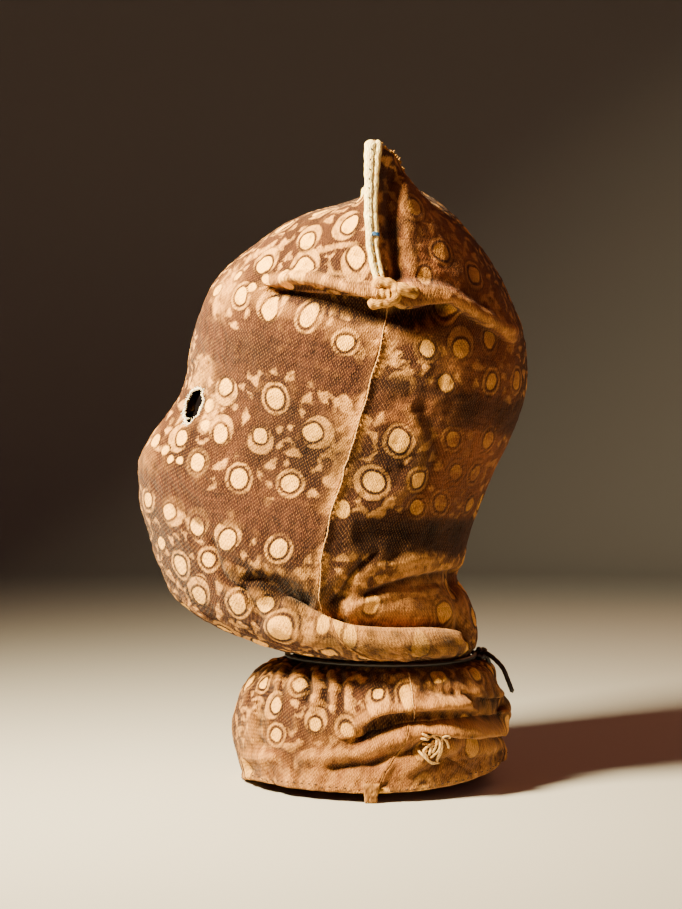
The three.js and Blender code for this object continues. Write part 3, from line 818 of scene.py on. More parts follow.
# Dark dye has pooled behind the ear and about the cheek. The same dark brown is painted shadow
# under the tuck and the ear pinch, in the hollow of the jaw, at the neck, in the folds of the
# collar, along the back band and on the back of the head: pixel, radius in mm and strength
stains_and_painted_shadows = [
    (388, 224, 4, 0.9), (396, 232, 6, 1), (384, 236, 3, 0.9), (470, 412, 12, 0.5),
    (500, 415, 12, 0.6), (383, 270, 3, 0.8), (398, 250, 4, 0.8), (381, 282, 3.4, 0.8),
    (383, 191, 3, 0.85), (381, 176, 4, 0.7), (399, 208, 2.5, 0.7), (400, 222, 4, 0.6),
    (405, 198, 6, 0.6), (406, 222, 8, 0.75), (408, 248, 8, 0.75), (404, 268, 7, 0.6),
    (320, 780, 30, 0.2), (400, 775, 30, 0.25), (460, 755, 25, 0.25), (400, 640, 30, 0.2),
    (340, 630, 20, 0.2), (455, 645, 20, 0.3), (384, 292, 4, 1), (262, 352, 15, 0.5),
    (236, 346, 12, 0.35), (410, 324, 9, 0.5), (440, 326, 9, 0.5), (425, 318, 8, 0.5),
    (384, 318, 8, 1), (356, 309, 8, 1), (330, 301, 7, 1), (306, 294, 5, 0.9), (370, 314, 8, 1),
    (292, 290, 3.5, 0.8), (318, 298, 6, 0.9), (343, 305, 7, 1), (402, 318, 8, 0.8),
    (299, 272, 4, 0.6), (317, 272, 4, 0.7), (335, 276, 4, 0.7), (352, 283, 4, 0.7),
    (367, 289, 4, 0.7), (400, 300, 7, 0.5), (414, 304, 7, 0.5), (430, 300, 7, 0.4),
    (455, 455, 22, 0.35), (470, 490, 20, 0.35), (445, 500, 16, 0.3), (330, 640, 7, 0.8),
    (352, 648, 6, 0.8), (380, 650, 8, 0.75), (396, 634, 5, 0.7), (410, 646, 5, 0.6),
    (425, 652, 8, 0.8), (448, 640, 6, 0.75), (300, 622, 6, 0.7), (463, 655, 6, 0.9),
    (372, 633, 4, 0.8), (428, 633, 5, 0.6), (366, 645, 4, 0.6), (313, 640, 6, 0.6),
    (318, 440, 22, 0.4), (300, 462, 14, 0.45), (335, 455, 18, 0.5), (352, 462, 14, 0.5),
    (385, 458, 16, 0.4), (270, 430, 14, 0.4), (262, 462, 12, 0.45), (292, 410, 12, 0.4),
    (400, 385, 9, 0.75), (386, 382, 6, 0.6), (425, 384, 7, 0.4), (345, 530, 12, 0.6),
    (370, 534, 13, 0.85), (400, 534, 14, 1), (430, 533, 13, 1), (456, 532, 12, 0.9),
    (262, 582, 11, 1), (285, 588, 11, 1), (305, 597, 10, 1), (244, 577, 7, 0.9),
    (222, 560, 4, 0.9), (230, 574, 4, 0.9), (298, 592, 9, 0.9), (318, 600, 9, 0.75),
    (286, 572, 9, 0.5), (238, 560, 6, 0.4), (330, 590, 9, 0.4), (310, 565, 12, 0.35),
    (350, 556, 12, 0.4), (395, 552, 12, 0.3), (415, 455, 12, 0.3), (440, 290, 9, 0.35),
    (470, 292, 10, 0.4), (420, 236, 9, 0.35), (455, 266, 8, 0.4), (440, 232, 8, 0.35),
    (466, 330, 10, 0.35), (305, 695, 5, 0.7), (300, 668, 9, 0.6), (328, 690, 6, 0.4),
    (310, 706, 12, 0.25), (300, 735, 12, 0.2), (377, 728, 7, 1), (366, 734, 5, 1),
    (389, 724, 6, 1), (400, 720, 5, 1), (414, 719, 4, 1), (428, 718, 4, 1), (442, 717, 4, 1),
    (456, 716, 4, 1), (470, 716, 4, 1), (484, 715, 4, 1), (498, 714, 4, 1), (436, 737, 3, 0.8),
    (453, 738, 3, 0.9), (472, 738, 3, 0.9), (492, 736, 3, 0.8), (286, 690, 7, 0.5),
    (345, 715, 8, 0.4), (262, 722, 7, 0.55), (290, 720, 8, 0.5), (252, 690, 5, 0.5),
    (288, 752, 7, 0.4), (330, 740, 7, 0.4), (300, 765, 6, 0.3), (275, 775, 6, 0.3),
    (345, 762, 6, 0.4), (395, 750, 5, 0.4), (420, 780, 6, 0.3), (362, 768, 8, 0.3),
    (440, 755, 8, 0.45), (466, 764, 5, 0.3), (494, 702, 8, 1), (482, 701, 7, 1), (506, 699, 6, 1),
]

# The cloth is worn pale on the roll of the jaw, the low nape, the collar and the brow
worn_places = [
    (322, 632, 12, 0.3), (360, 638, 16, 0.4), (400, 642, 18, 0.6), (440, 644, 18, 0.6),
    (420, 562, 16, 0.5), (440, 600, 22, 0.6), (400, 608, 18, 0.5), (460, 612, 14, 0.5),
    (350, 588, 9, 0.4), (350, 784, 20, 0.4), (300, 786, 16, 0.4), (400, 768, 18, 0.4),
    (450, 744, 22, 0.45), (490, 745, 20, 0.45), (470, 722, 18, 0.45), (430, 724, 14, 0.4),
    (400, 735, 12, 0.35), (480, 684, 14, 0.4), (506, 706, 12, 0.5), (440, 700, 12, 0.4),
    (255, 735, 12, 0.4), (248, 765, 14, 0.45), (330, 755, 14, 0.3), (268, 768, 12, 0.3),
    (400, 402, 12, 0.3), (430, 410, 12, 0.35), (458, 412, 10, 0.3), (222, 300, 13, 0.6),
    (205, 372, 10, 0.6), (374, 325, 8, 0.5), (378, 350, 8, 0.55), (300, 280, 6, 0.2),
    (350, 290, 7, 0.25), (230, 280, 10, 0.5), (480, 315, 8, 0.2), (213, 404, 8, 0.3),
    (186, 420, 8, 0.25), (348, 425, 9, 0.5), (342, 470, 8, 0.5), (330, 512, 8, 0.35),
    (456, 366, 12, 0.3),
]

# A reddish brown lies over the print on the back of the ear, on the back of the head and on
# the collar
reddened_places = [
    (415, 200, 22, 0.5), (440, 240, 26, 0.75), (470, 280, 26, 0.8), (500, 340, 24, 0.7),
    (440, 300, 18, 0.8), (410, 295, 12, 0.6), (500, 400, 22, 0.4), (470, 360, 20, 0.45),
    (480, 450, 26, 0.75), (450, 490, 20, 0.65), (500, 470, 24, 0.7), (455, 590, 22, 0.5),
    (410, 600, 20, 0.4), (480, 700, 24, 0.4), (460, 750, 26, 0.4), (380, 765, 26, 0.35),
    (320, 775, 24, 0.25), (270, 765, 20, 0.2), (410, 720, 20, 0.3), (408, 225, 12, 0.5),
    (410, 255, 12, 0.5), (402, 406, 12, 0.5), (425, 409, 12, 0.45), (445, 411, 10, 0.3),
    (455, 442, 13, 0.85), (488, 442, 14, 0.85), (457, 472, 13, 0.8), (477, 473, 13, 0.85),
    (440, 502, 12, 0.8), (470, 503, 13, 0.8), (418, 507, 8, 0.6), (515, 380, 9, 0.75),
    (492, 383, 7, 0.3),
]

# How far a hollow is looked for, in rounds of smoothing, and the fade in mm beside the seams
hollow_rounds = 30
hollow_fade = 9

# The hidden side is stained in clouds and reddened, its lower part is worn, and the seams are
# worn. The neck is darkened all round with dirt and painted shade, in mm
hidden_from = 40
cloud_size = 70
hidden_stain = 0.5
hidden_reddening = 0.45
worn_down = 305
worn_blend = 40
seam_wear = 0.75
seam_wear_width = 4.5
neck_dirt_and_shade_strength = 0.95
neck_dirt_and_shade_width = 6


def on_cloth(pixel):
    """The panel, row and column of the cloth that a pixel of the photograph shows."""
    nearest = None
    for panel in forward:
        gap = np.linalg.norm(seen_at[panel] - pixel, axis=-1)
        k = np.unravel_index(np.where(is_seen[panel], gap, np.inf).argmin(), gap.shape)
        if nearest is None or gap[k] < nearest[0]:
            nearest = (gap[k], panel, k)
    return nearest[1:]


seen_at, is_seen = {}, {}
for panel in forward:
    seen_at[panel] = in_photo(outer_skin[panel])
    is_seen[panel] = facing(cloth[panel], forward[panel])[..., 0] > seen_facing

band_middles = {"face": [], "nape": []}
for half_width, lines in bands:
    for panel, pixels in lines.items():
        at = [on_cloth(pixel)[1] for pixel in pixels]
        middle = sorted((abs(over_cloth[panel][k]), down_cloth[panel][k]) for k in at)
        band_middles[panel].append((half_width, np.array(middle)))


def band_distance(panel, over, down):
    """Millimetres from the edge of the nearest band, below zero inside it."""
    distance = np.full(over.shape, np.inf)
    for half_width, middle in band_middles[panel]:
        line = np.interp(np.abs(over), *middle.T)
        distance = np.minimum(distance, np.abs(down - line) - half_width)
    return distance


def laid_spot(panel, k):
    """A spot's middle on the unfolded bag, and the ways back and down the cloth from it."""
    out = bag_normal[panel][k]
    back = unit(np.cross((0, 0, 1), out))
    return unfolded[panel][k], back, np.cross(back, out)


def strewn_spots(panel, placed):
    """The placed spots, others for the cloth that the photograph doesn't show, and scraps for
    the gaps between all of them."""
    chance = np.random.default_rng({"face": 11, "nape": 12}[panel])
    over, down = over_cloth[panel], down_cloth[panel]
    found = list(placed)
    for scraps, tries in ((False, strewn_tries), (True, scrap_tries)):
        for _ in range(tries):
            k = (chance.integers(0, over.shape[0]), chance.integers(0, over.shape[1]))
            kind = "patch" if scraps else strewn_kinds[chance.integers(len(strewn_kinds))]
            radius = chance.uniform(*(scrap_sizes if scraps else strewn_sizes))
            tone = chance.uniform(0, 1)
            seen = is_seen[panel][k] and outer_skin[panel][k][0] > 0
            if (seen and not scraps) or band_distance(panel, over[k], down[k]) < radius:
                continue
            middles = np.array([spot[0][0] for spot in found])
            sizes = np.array([spot[1] + marks_round[spot[2]][1] for spot in found])
            apart = np.linalg.norm(middles - unfolded[panel][k], axis=1) - sizes
            if apart.min() > radius + (scrap_gap if scraps else marks_round[kind][1] + ring_gap):
                found.append((laid_spot(panel, k), radius, kind, tone))
    return found


spots = {"face": [], "nape": []}
spot_chance = np.random.default_rng(4)
for x, y, radius, kind in left_spots:
    panel, k = on_cloth((x, y))
    spots[panel].append((laid_spot(panel, k), radius, kind, spot_chance.uniform(0, 1)))
for panel in forward:
    spots[panel] = strewn_spots(panel, spots[panel])


def scrap(side, drop, radius, lean, long, pinch, bite):
    """Signed distance to an odd pale scrap: long, pinched in between its points or bitten
    into a crescent."""
    h = (side * np.cos(lean) + drop * np.sin(lean)) / long
    v = (drop * np.cos(lean) - side * np.sin(lean)) * long
    power = 0.8 + 1.2 * pinch
    size = (np.abs(h) ** power + np.abs(v) ** power + 1e-9) ** (1 / power)
    shape = size * (0.72 + 0.28 * pinch) - radius * (1 + 0.2 * np.sin(3 * np.arctan2(v, h)))
    return np.maximum(shape, bite * radius - np.hypot(h, v - 0.75 * radius))


def print_marks(panel):
    """Signed distances in mm to the discs, the pale rings, their dark outlines and the
    scraps, and the tone of the nearest spot."""
    shape = over_cloth[panel].shape
    disc, ring, faint, line, patch = (np.full(shape, unmarked) for _ in range(5))
    tone, nearest = np.zeros(shape), np.full(shape, np.inf)
    chance = np.random.default_rng(21)
    for (middle, back, below), radius, kind, spot_tone in spots[panel]:
        offset = unfolded[panel] - middle
        gap = np.linalg.norm(offset, axis=-1)
        near = gap < spot_reach
        side, drop, gap = (offset @ back)[near], (offset @ below)[near], gap[near]
        lean, long = chance.uniform(0, np.pi), chance.uniform(1, scrap_longest)
        phase, lobes = chance.uniform(0, 2 * np.pi), chance.integers(2, 5)
        pinch, bite = chance.uniform(0, 1), bite_size * (chance.uniform(0, 1) < bitten_share)
        turn = np.arctan2(drop, side)
        if kind == "patch":
            part = scrap(side, drop, radius, lean, long, pinch, bite)
            patch[near] = np.minimum(patch[near], np.maximum(part, gap - scrap_reach * radius))
            continue
        oval = 1 + oval_share * np.cos(2 * (turn - lean))
        oval = oval + wavy_share * np.sin(lobes * turn + phase)
        from_disc = gap - radius * oval
        closer = near.copy()
        closer[near] = from_disc < nearest[near]
        nearest[closer], tone[closer] = from_disc[from_disc < nearest[near]], spot_tone
        line_gap, reach, (towards_back, towards_below), shift, strength = marks_round[kind]
        outside = gap + unmarked
        if reach:
            from_middle = offset[near] - shift * (towards_back * back + towards_below * below)
            from_middle = np.linalg.norm(from_middle, axis=-1)
            outside = from_middle - (radius + reach) * (0.5 + 0.5 * oval)
        around = np.maximum(outside, line_gap - from_disc)
        disc[near] = np.minimum(disc[near], from_disc)
        outlines = np.minimum(np.abs(from_disc - disc_line),
                              np.abs(outside - ring_line) + ring_line_thinner)
        line[near] = np.minimum(line[near], outlines)
        drawn = faint if strength < 1 else ring
        drawn[near] = np.minimum(drawn[near], around)
    ring = np.maximum(ring, ring_clearance - disc)
    patch = np.maximum(patch, scrap_clearance - np.minimum(disc, ring))
    return {"disc": disc, "ring": ring, "faint": faint, "line": line, "patch": patch,
            "tone": tone}


def dabs(panel, places):
    """How much of some soft dabs lies on each place, given by pixel, radius and strength."""
    total = np.zeros(over_cloth[panel].shape)
    for x, y, radius, strength in places:
        found, k = on_cloth((x, y))
        gap = np.linalg.norm(outer_skin[panel] - outer_skin[found][k], axis=-1)
        total = 1 - (1 - total) * (1 - strength * np.exp(-((gap / radius) ** 2)))
    return total


def strokes(panel, lines):
    """Signed distance in mm to strokes drawn through pixels, on the left side."""
    distance = np.full(over_cloth[panel].shape, unmarked)
    photo_step = np.array([pixel_size, -pixel_size])
    seen = seen_at[panel] * photo_step
    for half_width, pixels in lines:
        path = np.array(pixels) * photo_step
        off = np.hypot(*beside_path(path, seen[..., 0], seen[..., 1], stroke_reach))
        distance = np.minimum(distance, off - half_width)
    return np.where(is_seen[panel], distance, unmarked)


def hollows(panel):
    """How deep each place lies in a hollow of the cloth in mm, below zero on a ridge."""
    places = outer_skin[panel]
    soft = places.copy()
    for _ in range(hollow_rounds):
        wide = np.pad(soft, ((1, 1), (1, 1), (0, 0)), mode="edge")
        soft = (wide[:-2, 1:-1] + wide[2:, 1:-1] + wide[1:-1, :-2] + wide[1:-1, 2:]) / 4
    depth = ((soft - places) * facing(soft, forward[panel])).sum(axis=-1)
    edge = smooth((bag_half_width - np.abs(over_cloth[panel])) / hollow_fade)
    return depth * edge * smooth(down_cloth[panel] / hollow_fade)


def cloth_marks(panel):
    """All marks of a panel's print, wear, dirt and painted shade, for each of its places."""
    marks = print_marks(panel)
    over, down = over_cloth[panel], down_cloth[panel]
    hidden = smooth(-outer_skin[panel][..., 0] / hidden_from)
    cloudy = smooth(0.5 + 0.5 * waves(over, down, cloud_size, 31))
    marks["patch"] = np.minimum(marks["patch"], strokes(panel, pale_strokes))
    marks["band"] = band_distance(panel, over, down)
    low = smooth((down - worn_down) / worn_blend)
    worn = np.maximum(dabs(panel, worn_places), hidden * low * (0.4 + 0.5 * cloudy))
    from_seam = bag_half_width - np.abs(over)
    seam = seam_wear * np.exp(-((from_seam / seam_wear_width) ** 2))
    marks["worn"] = np.maximum(worn, seam)
    marks["reddened"] = np.maximum(dabs(panel, reddened_places), hidden_reddening * hidden)
    neck = np.interp(neck_station, station, np.arange(len(station)))
    from_neck = np.abs(down - down[int(neck)])
    # Stains and painted shadows from the list, with clouds of stain on the hidden side, and dirt
    # and painted shade all round the neck
    stain_and_shade = np.maximum(dabs(panel, stains_and_painted_shadows), hidden_stain * hidden * cloudy**3)
    neck_dirt_and_shade = neck_dirt_and_shade_strength * np.exp(-((from_neck / neck_dirt_and_shade_width) ** 2))
    marks["stain_and_shade"] = np.maximum(stain_and_shade, neck_dirt_and_shade)
    marks["hollow"] = hollows(panel)
    return marks


# The printed cotton
# Handspun cotton in plain weave is matt and a little fuzzy. Its threads are uneven, so the
# dye lies patchily on them, and the hollows between them are darker. Painted shade and dirt
# darken the creases, and the rolls are rubbed pale, which also paints light on the ridges.
cotton_roughness = 0.93
cotton_sheen = 0.06
cotton_gloss = 0.1
dark_ground, light_ground = "#220c07", "#442618"
worn_ground = "#ce904c"
ring_cream, disc_cream, patch_cream = "#c08a48", "#edb152", "#c08948"
outline_brown = "#1f0d06"
line_half_width = 0.85
band_brown, band_red = "#24100b", "#412318"
# Stains and painted shadows share one dark brown, and hollows get painted shade and dirt
stain_and_shadow_brown = "#0e0402"
crease_shade_and_dirt_brown = "#200c04"
# A reddish brown that lies over the print on the back of the head and the collar
reddening_brown = "#93552f"

# The edge of each mark in mm: how soft it is and how far it is ragged
mark_edges = {
    "patch": (0.8, 1.6), "faint": (0.8, 1.2), "ring": (0.55, 0.9), "disc": (0.4, 0.6),
    "line": (0.45, 0.5), "band": (1.6, 3.5),
}
faint_share = 0.4

# Noise is stretched into patches where each colour takes: times and plus
patch_stretch = {
    "rubbed": (3.2, -0.8), "pale": (3, -0.65), "disc": (2.4, -0.1), "reddening": (1.4, 0.2),
    "outline": (3, -0.7), "band": (2.2, -0.6), "stain_and_shade": (1.6, 0.15),
}
ground_clouds, ground_patches, ground_base = 2.6, 1.1, -1.35

# How much of the print wear leaves, how strong the outlines are by the tone of their spot,
# and how strong the bands are under the reddish brown: times and plus
left_by_wear = (-0.55, 1)
outline_tones = (0.4, 0.6)
band_strength = (-0.6, 0.9)

# Ridges are rubbed pale with painted light, thread tops are rubbed pale, and hollows get
# painted shade and dirt: the measures that this starts and ends at, in mm for the first and
# the last, and the shares there
ridge_rub_and_highlight = (-0.5, -2, 0, 0.35)
thread_rub = (1.15, 1.7, 0, 0.2)
hollow_shade_and_dirt = (0.1, 2.2, 0, 0.75)

# Nine warp and seven weft threads to the centimetre, which drift from side to side. Each
# keeps its tone for a while along it. All of these and the noises are in mm.
thread_pitch = 1.1
weft_spacing = 1.3
warp_drift, weft_drift = 2.4, -3.2
thread_run = 22
fuzz_size = 0.5
fine_size = 2
rough_size = 6
cloud_width = 32

# How the weave shades the cloth, and how far it stands up, in mm
thread_shade, shade_base = 1.15, -0.71
streak_shade = 1.8
fuzz_shade = 0.6
deepest_shade, palest_shade = 0.22, 1.3
weave_relief = 0.6
fuzz_relief, fine_relief, rough_relief = 0.35, 2.2, 2.6
relief_strength = 0.8


def colour(code):
    """An sRGB hex colour as linear values."""
    parts = [int(code[i:i + 2], 16) / 255 for i in (1, 3, 5)]
    return [c / 12.92 if c <= 0.04045 else ((c + 0.055) / 1.055) ** 2.4 for c in parts] + [1]


def add(material, kind, *values, output=0, sockets=None, **settings):
    """Adds a node with its settings, puts numbers, colours or other nodes' outputs into its
    sockets, in order or by name, and gives one of its outputs."""
    node = material.node_tree.nodes.new("ShaderNode" + kind)
    for name, setting in settings.items():
        setattr(node, name, setting)
    for socket, value in (dict(enumerate(values)) | (sockets or {})).items():
        if isinstance(value, bpy.types.NodeSocket):
            material.node_tree.links.new(value, node.inputs[socket])
        elif value is not None:
            node.inputs[socket].default_value = value
    return node.outputs[output] if node.outputs else None


def new_material(name, roughness, **values):
    """An empty material with a shader that has plain values, and that shader's sockets."""
    material = bpy.data.materials.new(name)
    material.use_nodes = True
    material.node_tree.nodes.clear()
    surface = add(material, "BsdfPrincipled", sockets={"Roughness": roughness, **values})
    add(material, "OutputMaterial", surface)
    return material, surface.node.inputs


def plain_weave(material, position, pitch):
    """The height of a plain weave: the warp threads are ribs that rise in turn over the weft,
    which lies slacker. It is 0.2 in the hollows and 1 where a thread is highest."""
    drift = add(material, "TexNoise", position, None, 1 / rough_size, 2)
    waves_over = []
    for axis, lean, apart in (("X", warp_drift, pitch), ("Y", weft_drift, weft_spacing * pitch)):
        place = add(material, "SeparateXYZ", position, output=axis)
        place = add(material, "Math", drift, lean * pitch, place, operation="MULTIPLY_ADD")
        place = add(material, "Math", place, np.pi / apart, operation="MULTIPLY")
        waves_over.append(add(material, "Math", place, operation="SINE"))
    rib = add(material, "Math", waves_over[0], operation="ABSOLUTE")
    rib = add(material, "Math", rib, 0.5, 0.2, operation="MULTIPLY_ADD")
    crossing = add(material, "Math", *waves_over, operation="MULTIPLY")
    return add(material, "Math", crossing, 0.3, rib, operation="MULTIPLY_ADD")


def uneven_threads(material, position, pitch):
    """How light each thread is along its length, about 0.5: handspun yarn is never even."""
    tones = []
    for stretch in ((1 / pitch, 1 / thread_run, 0), (1 / thread_run, 1 / pitch, 0)):
        along_thread = add(material, "VectorMath", position, stretch, operation="MULTIPLY")
        tones.append(add(material, "TexNoise", along_thread, None, 1, 1))
    return add(material, "Math", add(material, "Math", *tones, operation="ADD"), 0.5,
               operation="MULTIPLY")


def painted(material, under, code, distance, edge, noise, strength):
    """Paints a colour inside a signed distance, with an edge that is soft and that a noise
    makes ragged."""
    soft, ragged = edge
    frayed = add(material, "Math", distance, ragged, operation="SUBTRACT")
    frayed = add(material, "Math", noise, 2 * ragged, frayed, operation="MULTIPLY_ADD")
    inside = add(material, "MapRange", frayed, soft, -soft, 0, 1)
    share = add(material, "Math", inside, strength, operation="MULTIPLY")
    return add(material, "MixRGB", share, under, code)


def shade_and_raise(material, sockets, surface, shade, height, strength, depth):
    """Makes a colour lighter and darker by a shade, and gives the material that colour and a
    relief of a depth in mm."""
    grey = add(material, "CombineXYZ", shade, shade, shade)
    surface = add(material, "MixRGB", 1.0, surface, grey, blend_type="MULTIPLY")
    bump = add(material, "Bump", strength, depth * metre, sockets={"Height": height})
    material.node_tree.links.new(surface, sockets["Base Color"])
    material.node_tree.links.new(bump, sockets["Normal"])


cotton, cotton_sockets = new_material(
    "printed handspun cotton", cotton_roughness,
    **{"Sheen Weight": cotton_sheen, "Sheen Roughness": 0.5, "Specular IOR Level": cotton_gloss},
)
position = add(cotton, "Attribute", output="Vector", attribute_name="cloth")
mark = {
    name: add(cotton, "Attribute", output="Fac", attribute_name=name)
    for name in ("disc", "ring", "faint", "line", "patch", "tone", "band", "stain_and_shade", "worn",
                 "reddened", "hollow")
}
thread = plain_weave(cotton, position, thread_pitch)
streaks = uneven_threads(cotton, position, thread_pitch)
fuzz = add(cotton, "TexNoise", position, None, 1 / fuzz_size, 2)
fine = add(cotton, "TexNoise", position, None, 1 / fine_size, 3)
rough = add(cotton, "TexNoise", position, None, 1 / rough_size, 4)
cloudy = add(cotton, "TexNoise", position, None, 1 / cloud_width, 3)
patches = {
    name: add(cotton, "Math", rough, *stretch, operation="MULTIPLY_ADD", use_clamp=True)
    for name, stretch in patch_stretch.items()
}

# The dye: darker and lighter clouds, rubbed off where it is worn
light = add(cotton, "Math", cloudy, ground_clouds, ground_base, operation="MULTIPLY_ADD")
light = add(cotton, "Math", rough, ground_patches, light, operation="MULTIPLY_ADD",
            use_clamp=True)
surface = add(cotton, "MixRGB", light, colour(dark_ground), colour(light_ground))
rubbed = add(cotton, "Math", mark["worn"], patches["rubbed"], operation="MULTIPLY")
surface = add(cotton, "MixRGB", rubbed, surface, colour(worn_ground))
keep = add(cotton, "Math", mark["worn"], *left_by_wear, operation="MULTIPLY_ADD")

# The pale marks, patchy where the dye has crept under them
patchy = add(cotton, "Math", patches["pale"], keep, operation="MULTIPLY")
weak = add(cotton, "Math", patchy, faint_share, operation="MULTIPLY")
full = add(cotton, "Math", patches["disc"], keep, operation="MULTIPLY")
for name, cream, share in (("patch", patch_cream, patchy), ("faint", ring_cream, weak),
                           ("ring", ring_cream, patchy), ("disc", disc_cream, full)):
    edge = mark_edges[name]
    surface = painted(cotton, surface, colour(cream), mark[name], edge, fine, share)

# The reddish brown over them, and the dark outlines of the spots
reddening = add(cotton, "Math", mark["reddened"], patches["reddening"], operation="MULTIPLY")
surface = add(cotton, "MixRGB", reddening, surface, colour(reddening_brown))
drawn = add(cotton, "Math", mark["tone"], *outline_tones, operation="MULTIPLY_ADD")
drawn = add(cotton, "Math", patches["outline"], drawn, operation="MULTIPLY")
drawn = add(cotton, "Math", drawn, keep, operation="MULTIPLY")
line = add(cotton, "Math", mark["line"], line_half_width, operation="SUBTRACT")
edge = mark_edges["line"]
surface = painted(cotton, surface, colour(outline_brown), line, edge, fine, drawn)

# The bands, the rubbed ridges with painted light, the stains and painted shadows, and the
# painted shade and dirt in the creases
mottled = add(cotton, "MixRGB", patches["band"], colour(band_brown), colour(band_red))
share = add(cotton, "Math", mark["reddened"], *band_strength, operation="MULTIPLY_ADD")
edge = mark_edges["band"]
surface = painted(cotton, surface, mottled, mark["band"], edge, rough, share)
# Ridges are rubbed pale, which also paints light on them
rubbed_and_lit = add(cotton, "MapRange", mark["hollow"], *ridge_rub_and_highlight)
surface = add(cotton, "MixRGB", rubbed_and_lit, surface, colour(worn_ground))
# Stains and painted shadows in one dark brown
stained_and_shaded = add(cotton, "Math", mark["stain_and_shade"], patches["stain_and_shade"], operation="MULTIPLY")
surface = add(cotton, "MixRGB", stained_and_shaded, surface, colour(stain_and_shadow_brown))
# Painted shade and dirt in the hollows of the cloth
crease_shade_and_dirt = add(cotton, "MapRange", mark["hollow"], *hollow_shade_and_dirt)
surface = add(cotton, "MixRGB", crease_shade_and_dirt, surface, colour(crease_shade_and_dirt_brown))

# The threads: rubbed pale on top, dark in the hollows between them
high = add(cotton, "Math", thread, streaks, operation="ADD")
high = add(cotton, "MapRange", high, *thread_rub)
surface = add(cotton, "MixRGB", high, surface, colour(worn_ground))
shade = add(cotton, "Math", thread, thread_shade, shade_base, operation="MULTIPLY_ADD")
shade = add(cotton, "Math", streaks, streak_shade, shade, operation="MULTIPLY_ADD")
shade = add(cotton, "Math", fuzz, fuzz_shade, shade, operation="MULTIPLY_ADD")
shade = add(cotton, "Math", shade, deepest_shade, operation="MAXIMUM")
shade = add(cotton, "Math", shade, palest_shade, operation="MINIMUM")

# The relief of the threads, with the crumple of old cloth
relief = add(cotton, "Math", fuzz, fuzz_relief, thread, operation="MULTIPLY_ADD")
relief = add(cotton, "Math", fine, fine_relief, relief, operation="MULTIPLY_ADD")
relief = add(cotton, "Math", rough, rough_relief, relief, operation="MULTIPLY_ADD")
shade_and_raise(cotton, cotton_sockets, surface, shade, relief, relief_strength, weave_relief)


def printed_panel(name, node, panel):
    """A panel as a closed piece that carries its print and its measures on the flat cloth."""
    outer, inner = outer_skin[panel], inner_skin[panel]
    marks = cloth_marks(panel)
    kept = np.ones(((len(station) - 1) // 2, columns // 2), bool)
    if panel == "face":
        cut_eyes(outer, inner, kept)
    piece = closed_cloth(name, outer, inner, kept, forward[panel] < 0)
    position = np.stack([over_cloth[panel], down_cloth[panel], np.zeros(outer.shape[:2])], -1)
    for key, values in {"cloth": position, **marks}.items():
        kind = "FLOAT_VECTOR" if key == "cloth" else "FLOAT"
        attribute = piece.data.attributes.new(key, kind, "POINT")
        values = np.concatenate([values.reshape(outer[..., 0].size, -1),
                                 values[::2, ::2].reshape(inner[::2, ::2, 0].size, -1)])
        attribute.data.foreach_set("vector" if key == "cloth" else "value", values.ravel())
    piece.data.materials.append(cotton)
    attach(piece, "root")
    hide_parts(node)
    return piece


front_cloth = printed_panel("front_cloth", "front_panel", "face")
back_cloth = printed_panel("back_cloth", "back_panel", "nape")


# The ear welts
# Down the front edge of each ear the raw edges of the two panels are rolled outward into a
# thick and a thin strand of undyed cotton, and backstitched with dark thread.
welt_end = 3.45
welt_sides = 14
welt_steps = 110
front_roll = {"back": -0.8, "out": 0.6, "across": 3.1, "through": 2.9}
back_roll = {"back": 2.9, "out": 0.3, "across": 2.2, "through": 2.1}
tip_swell = 0.35
tip_steps = 18
welt_wobble = 0.5
foot_lean = 2.4
foot_lean_steps = 40
foot_thinning = 0.32
foot_thinning_steps = 30
welt_lumps = 0.06
stitch_step = 6.2
stitch_length = 1.6
stitch_radius = 0.3
welt_cream, welt_soiled = "#fff0b0", "#dfb469"
thread_grey = "#6f7f96"
ply_depth = 0.16


def lengths_along(path):
    """How far each place on a path is from its start."""
    return np.concatenate([[0], np.cumsum(np.linalg.norm(np.diff(path, axis=0), axis=1))])


def smooth_path(points, count):
    """Evenly spaced places on a smooth curve through given points."""
    numbered = [(i, *point) for i, point in enumerate(points)]
    fine_points = along(numbered, np.linspace(0, len(points) - 1, 30 * len(points)))
    length = lengths_along(fine_points)
    even = np.linspace(0, length[-1], count)
    return np.column_stack([np.interp(even, length, axis) for axis in fine_points.T])


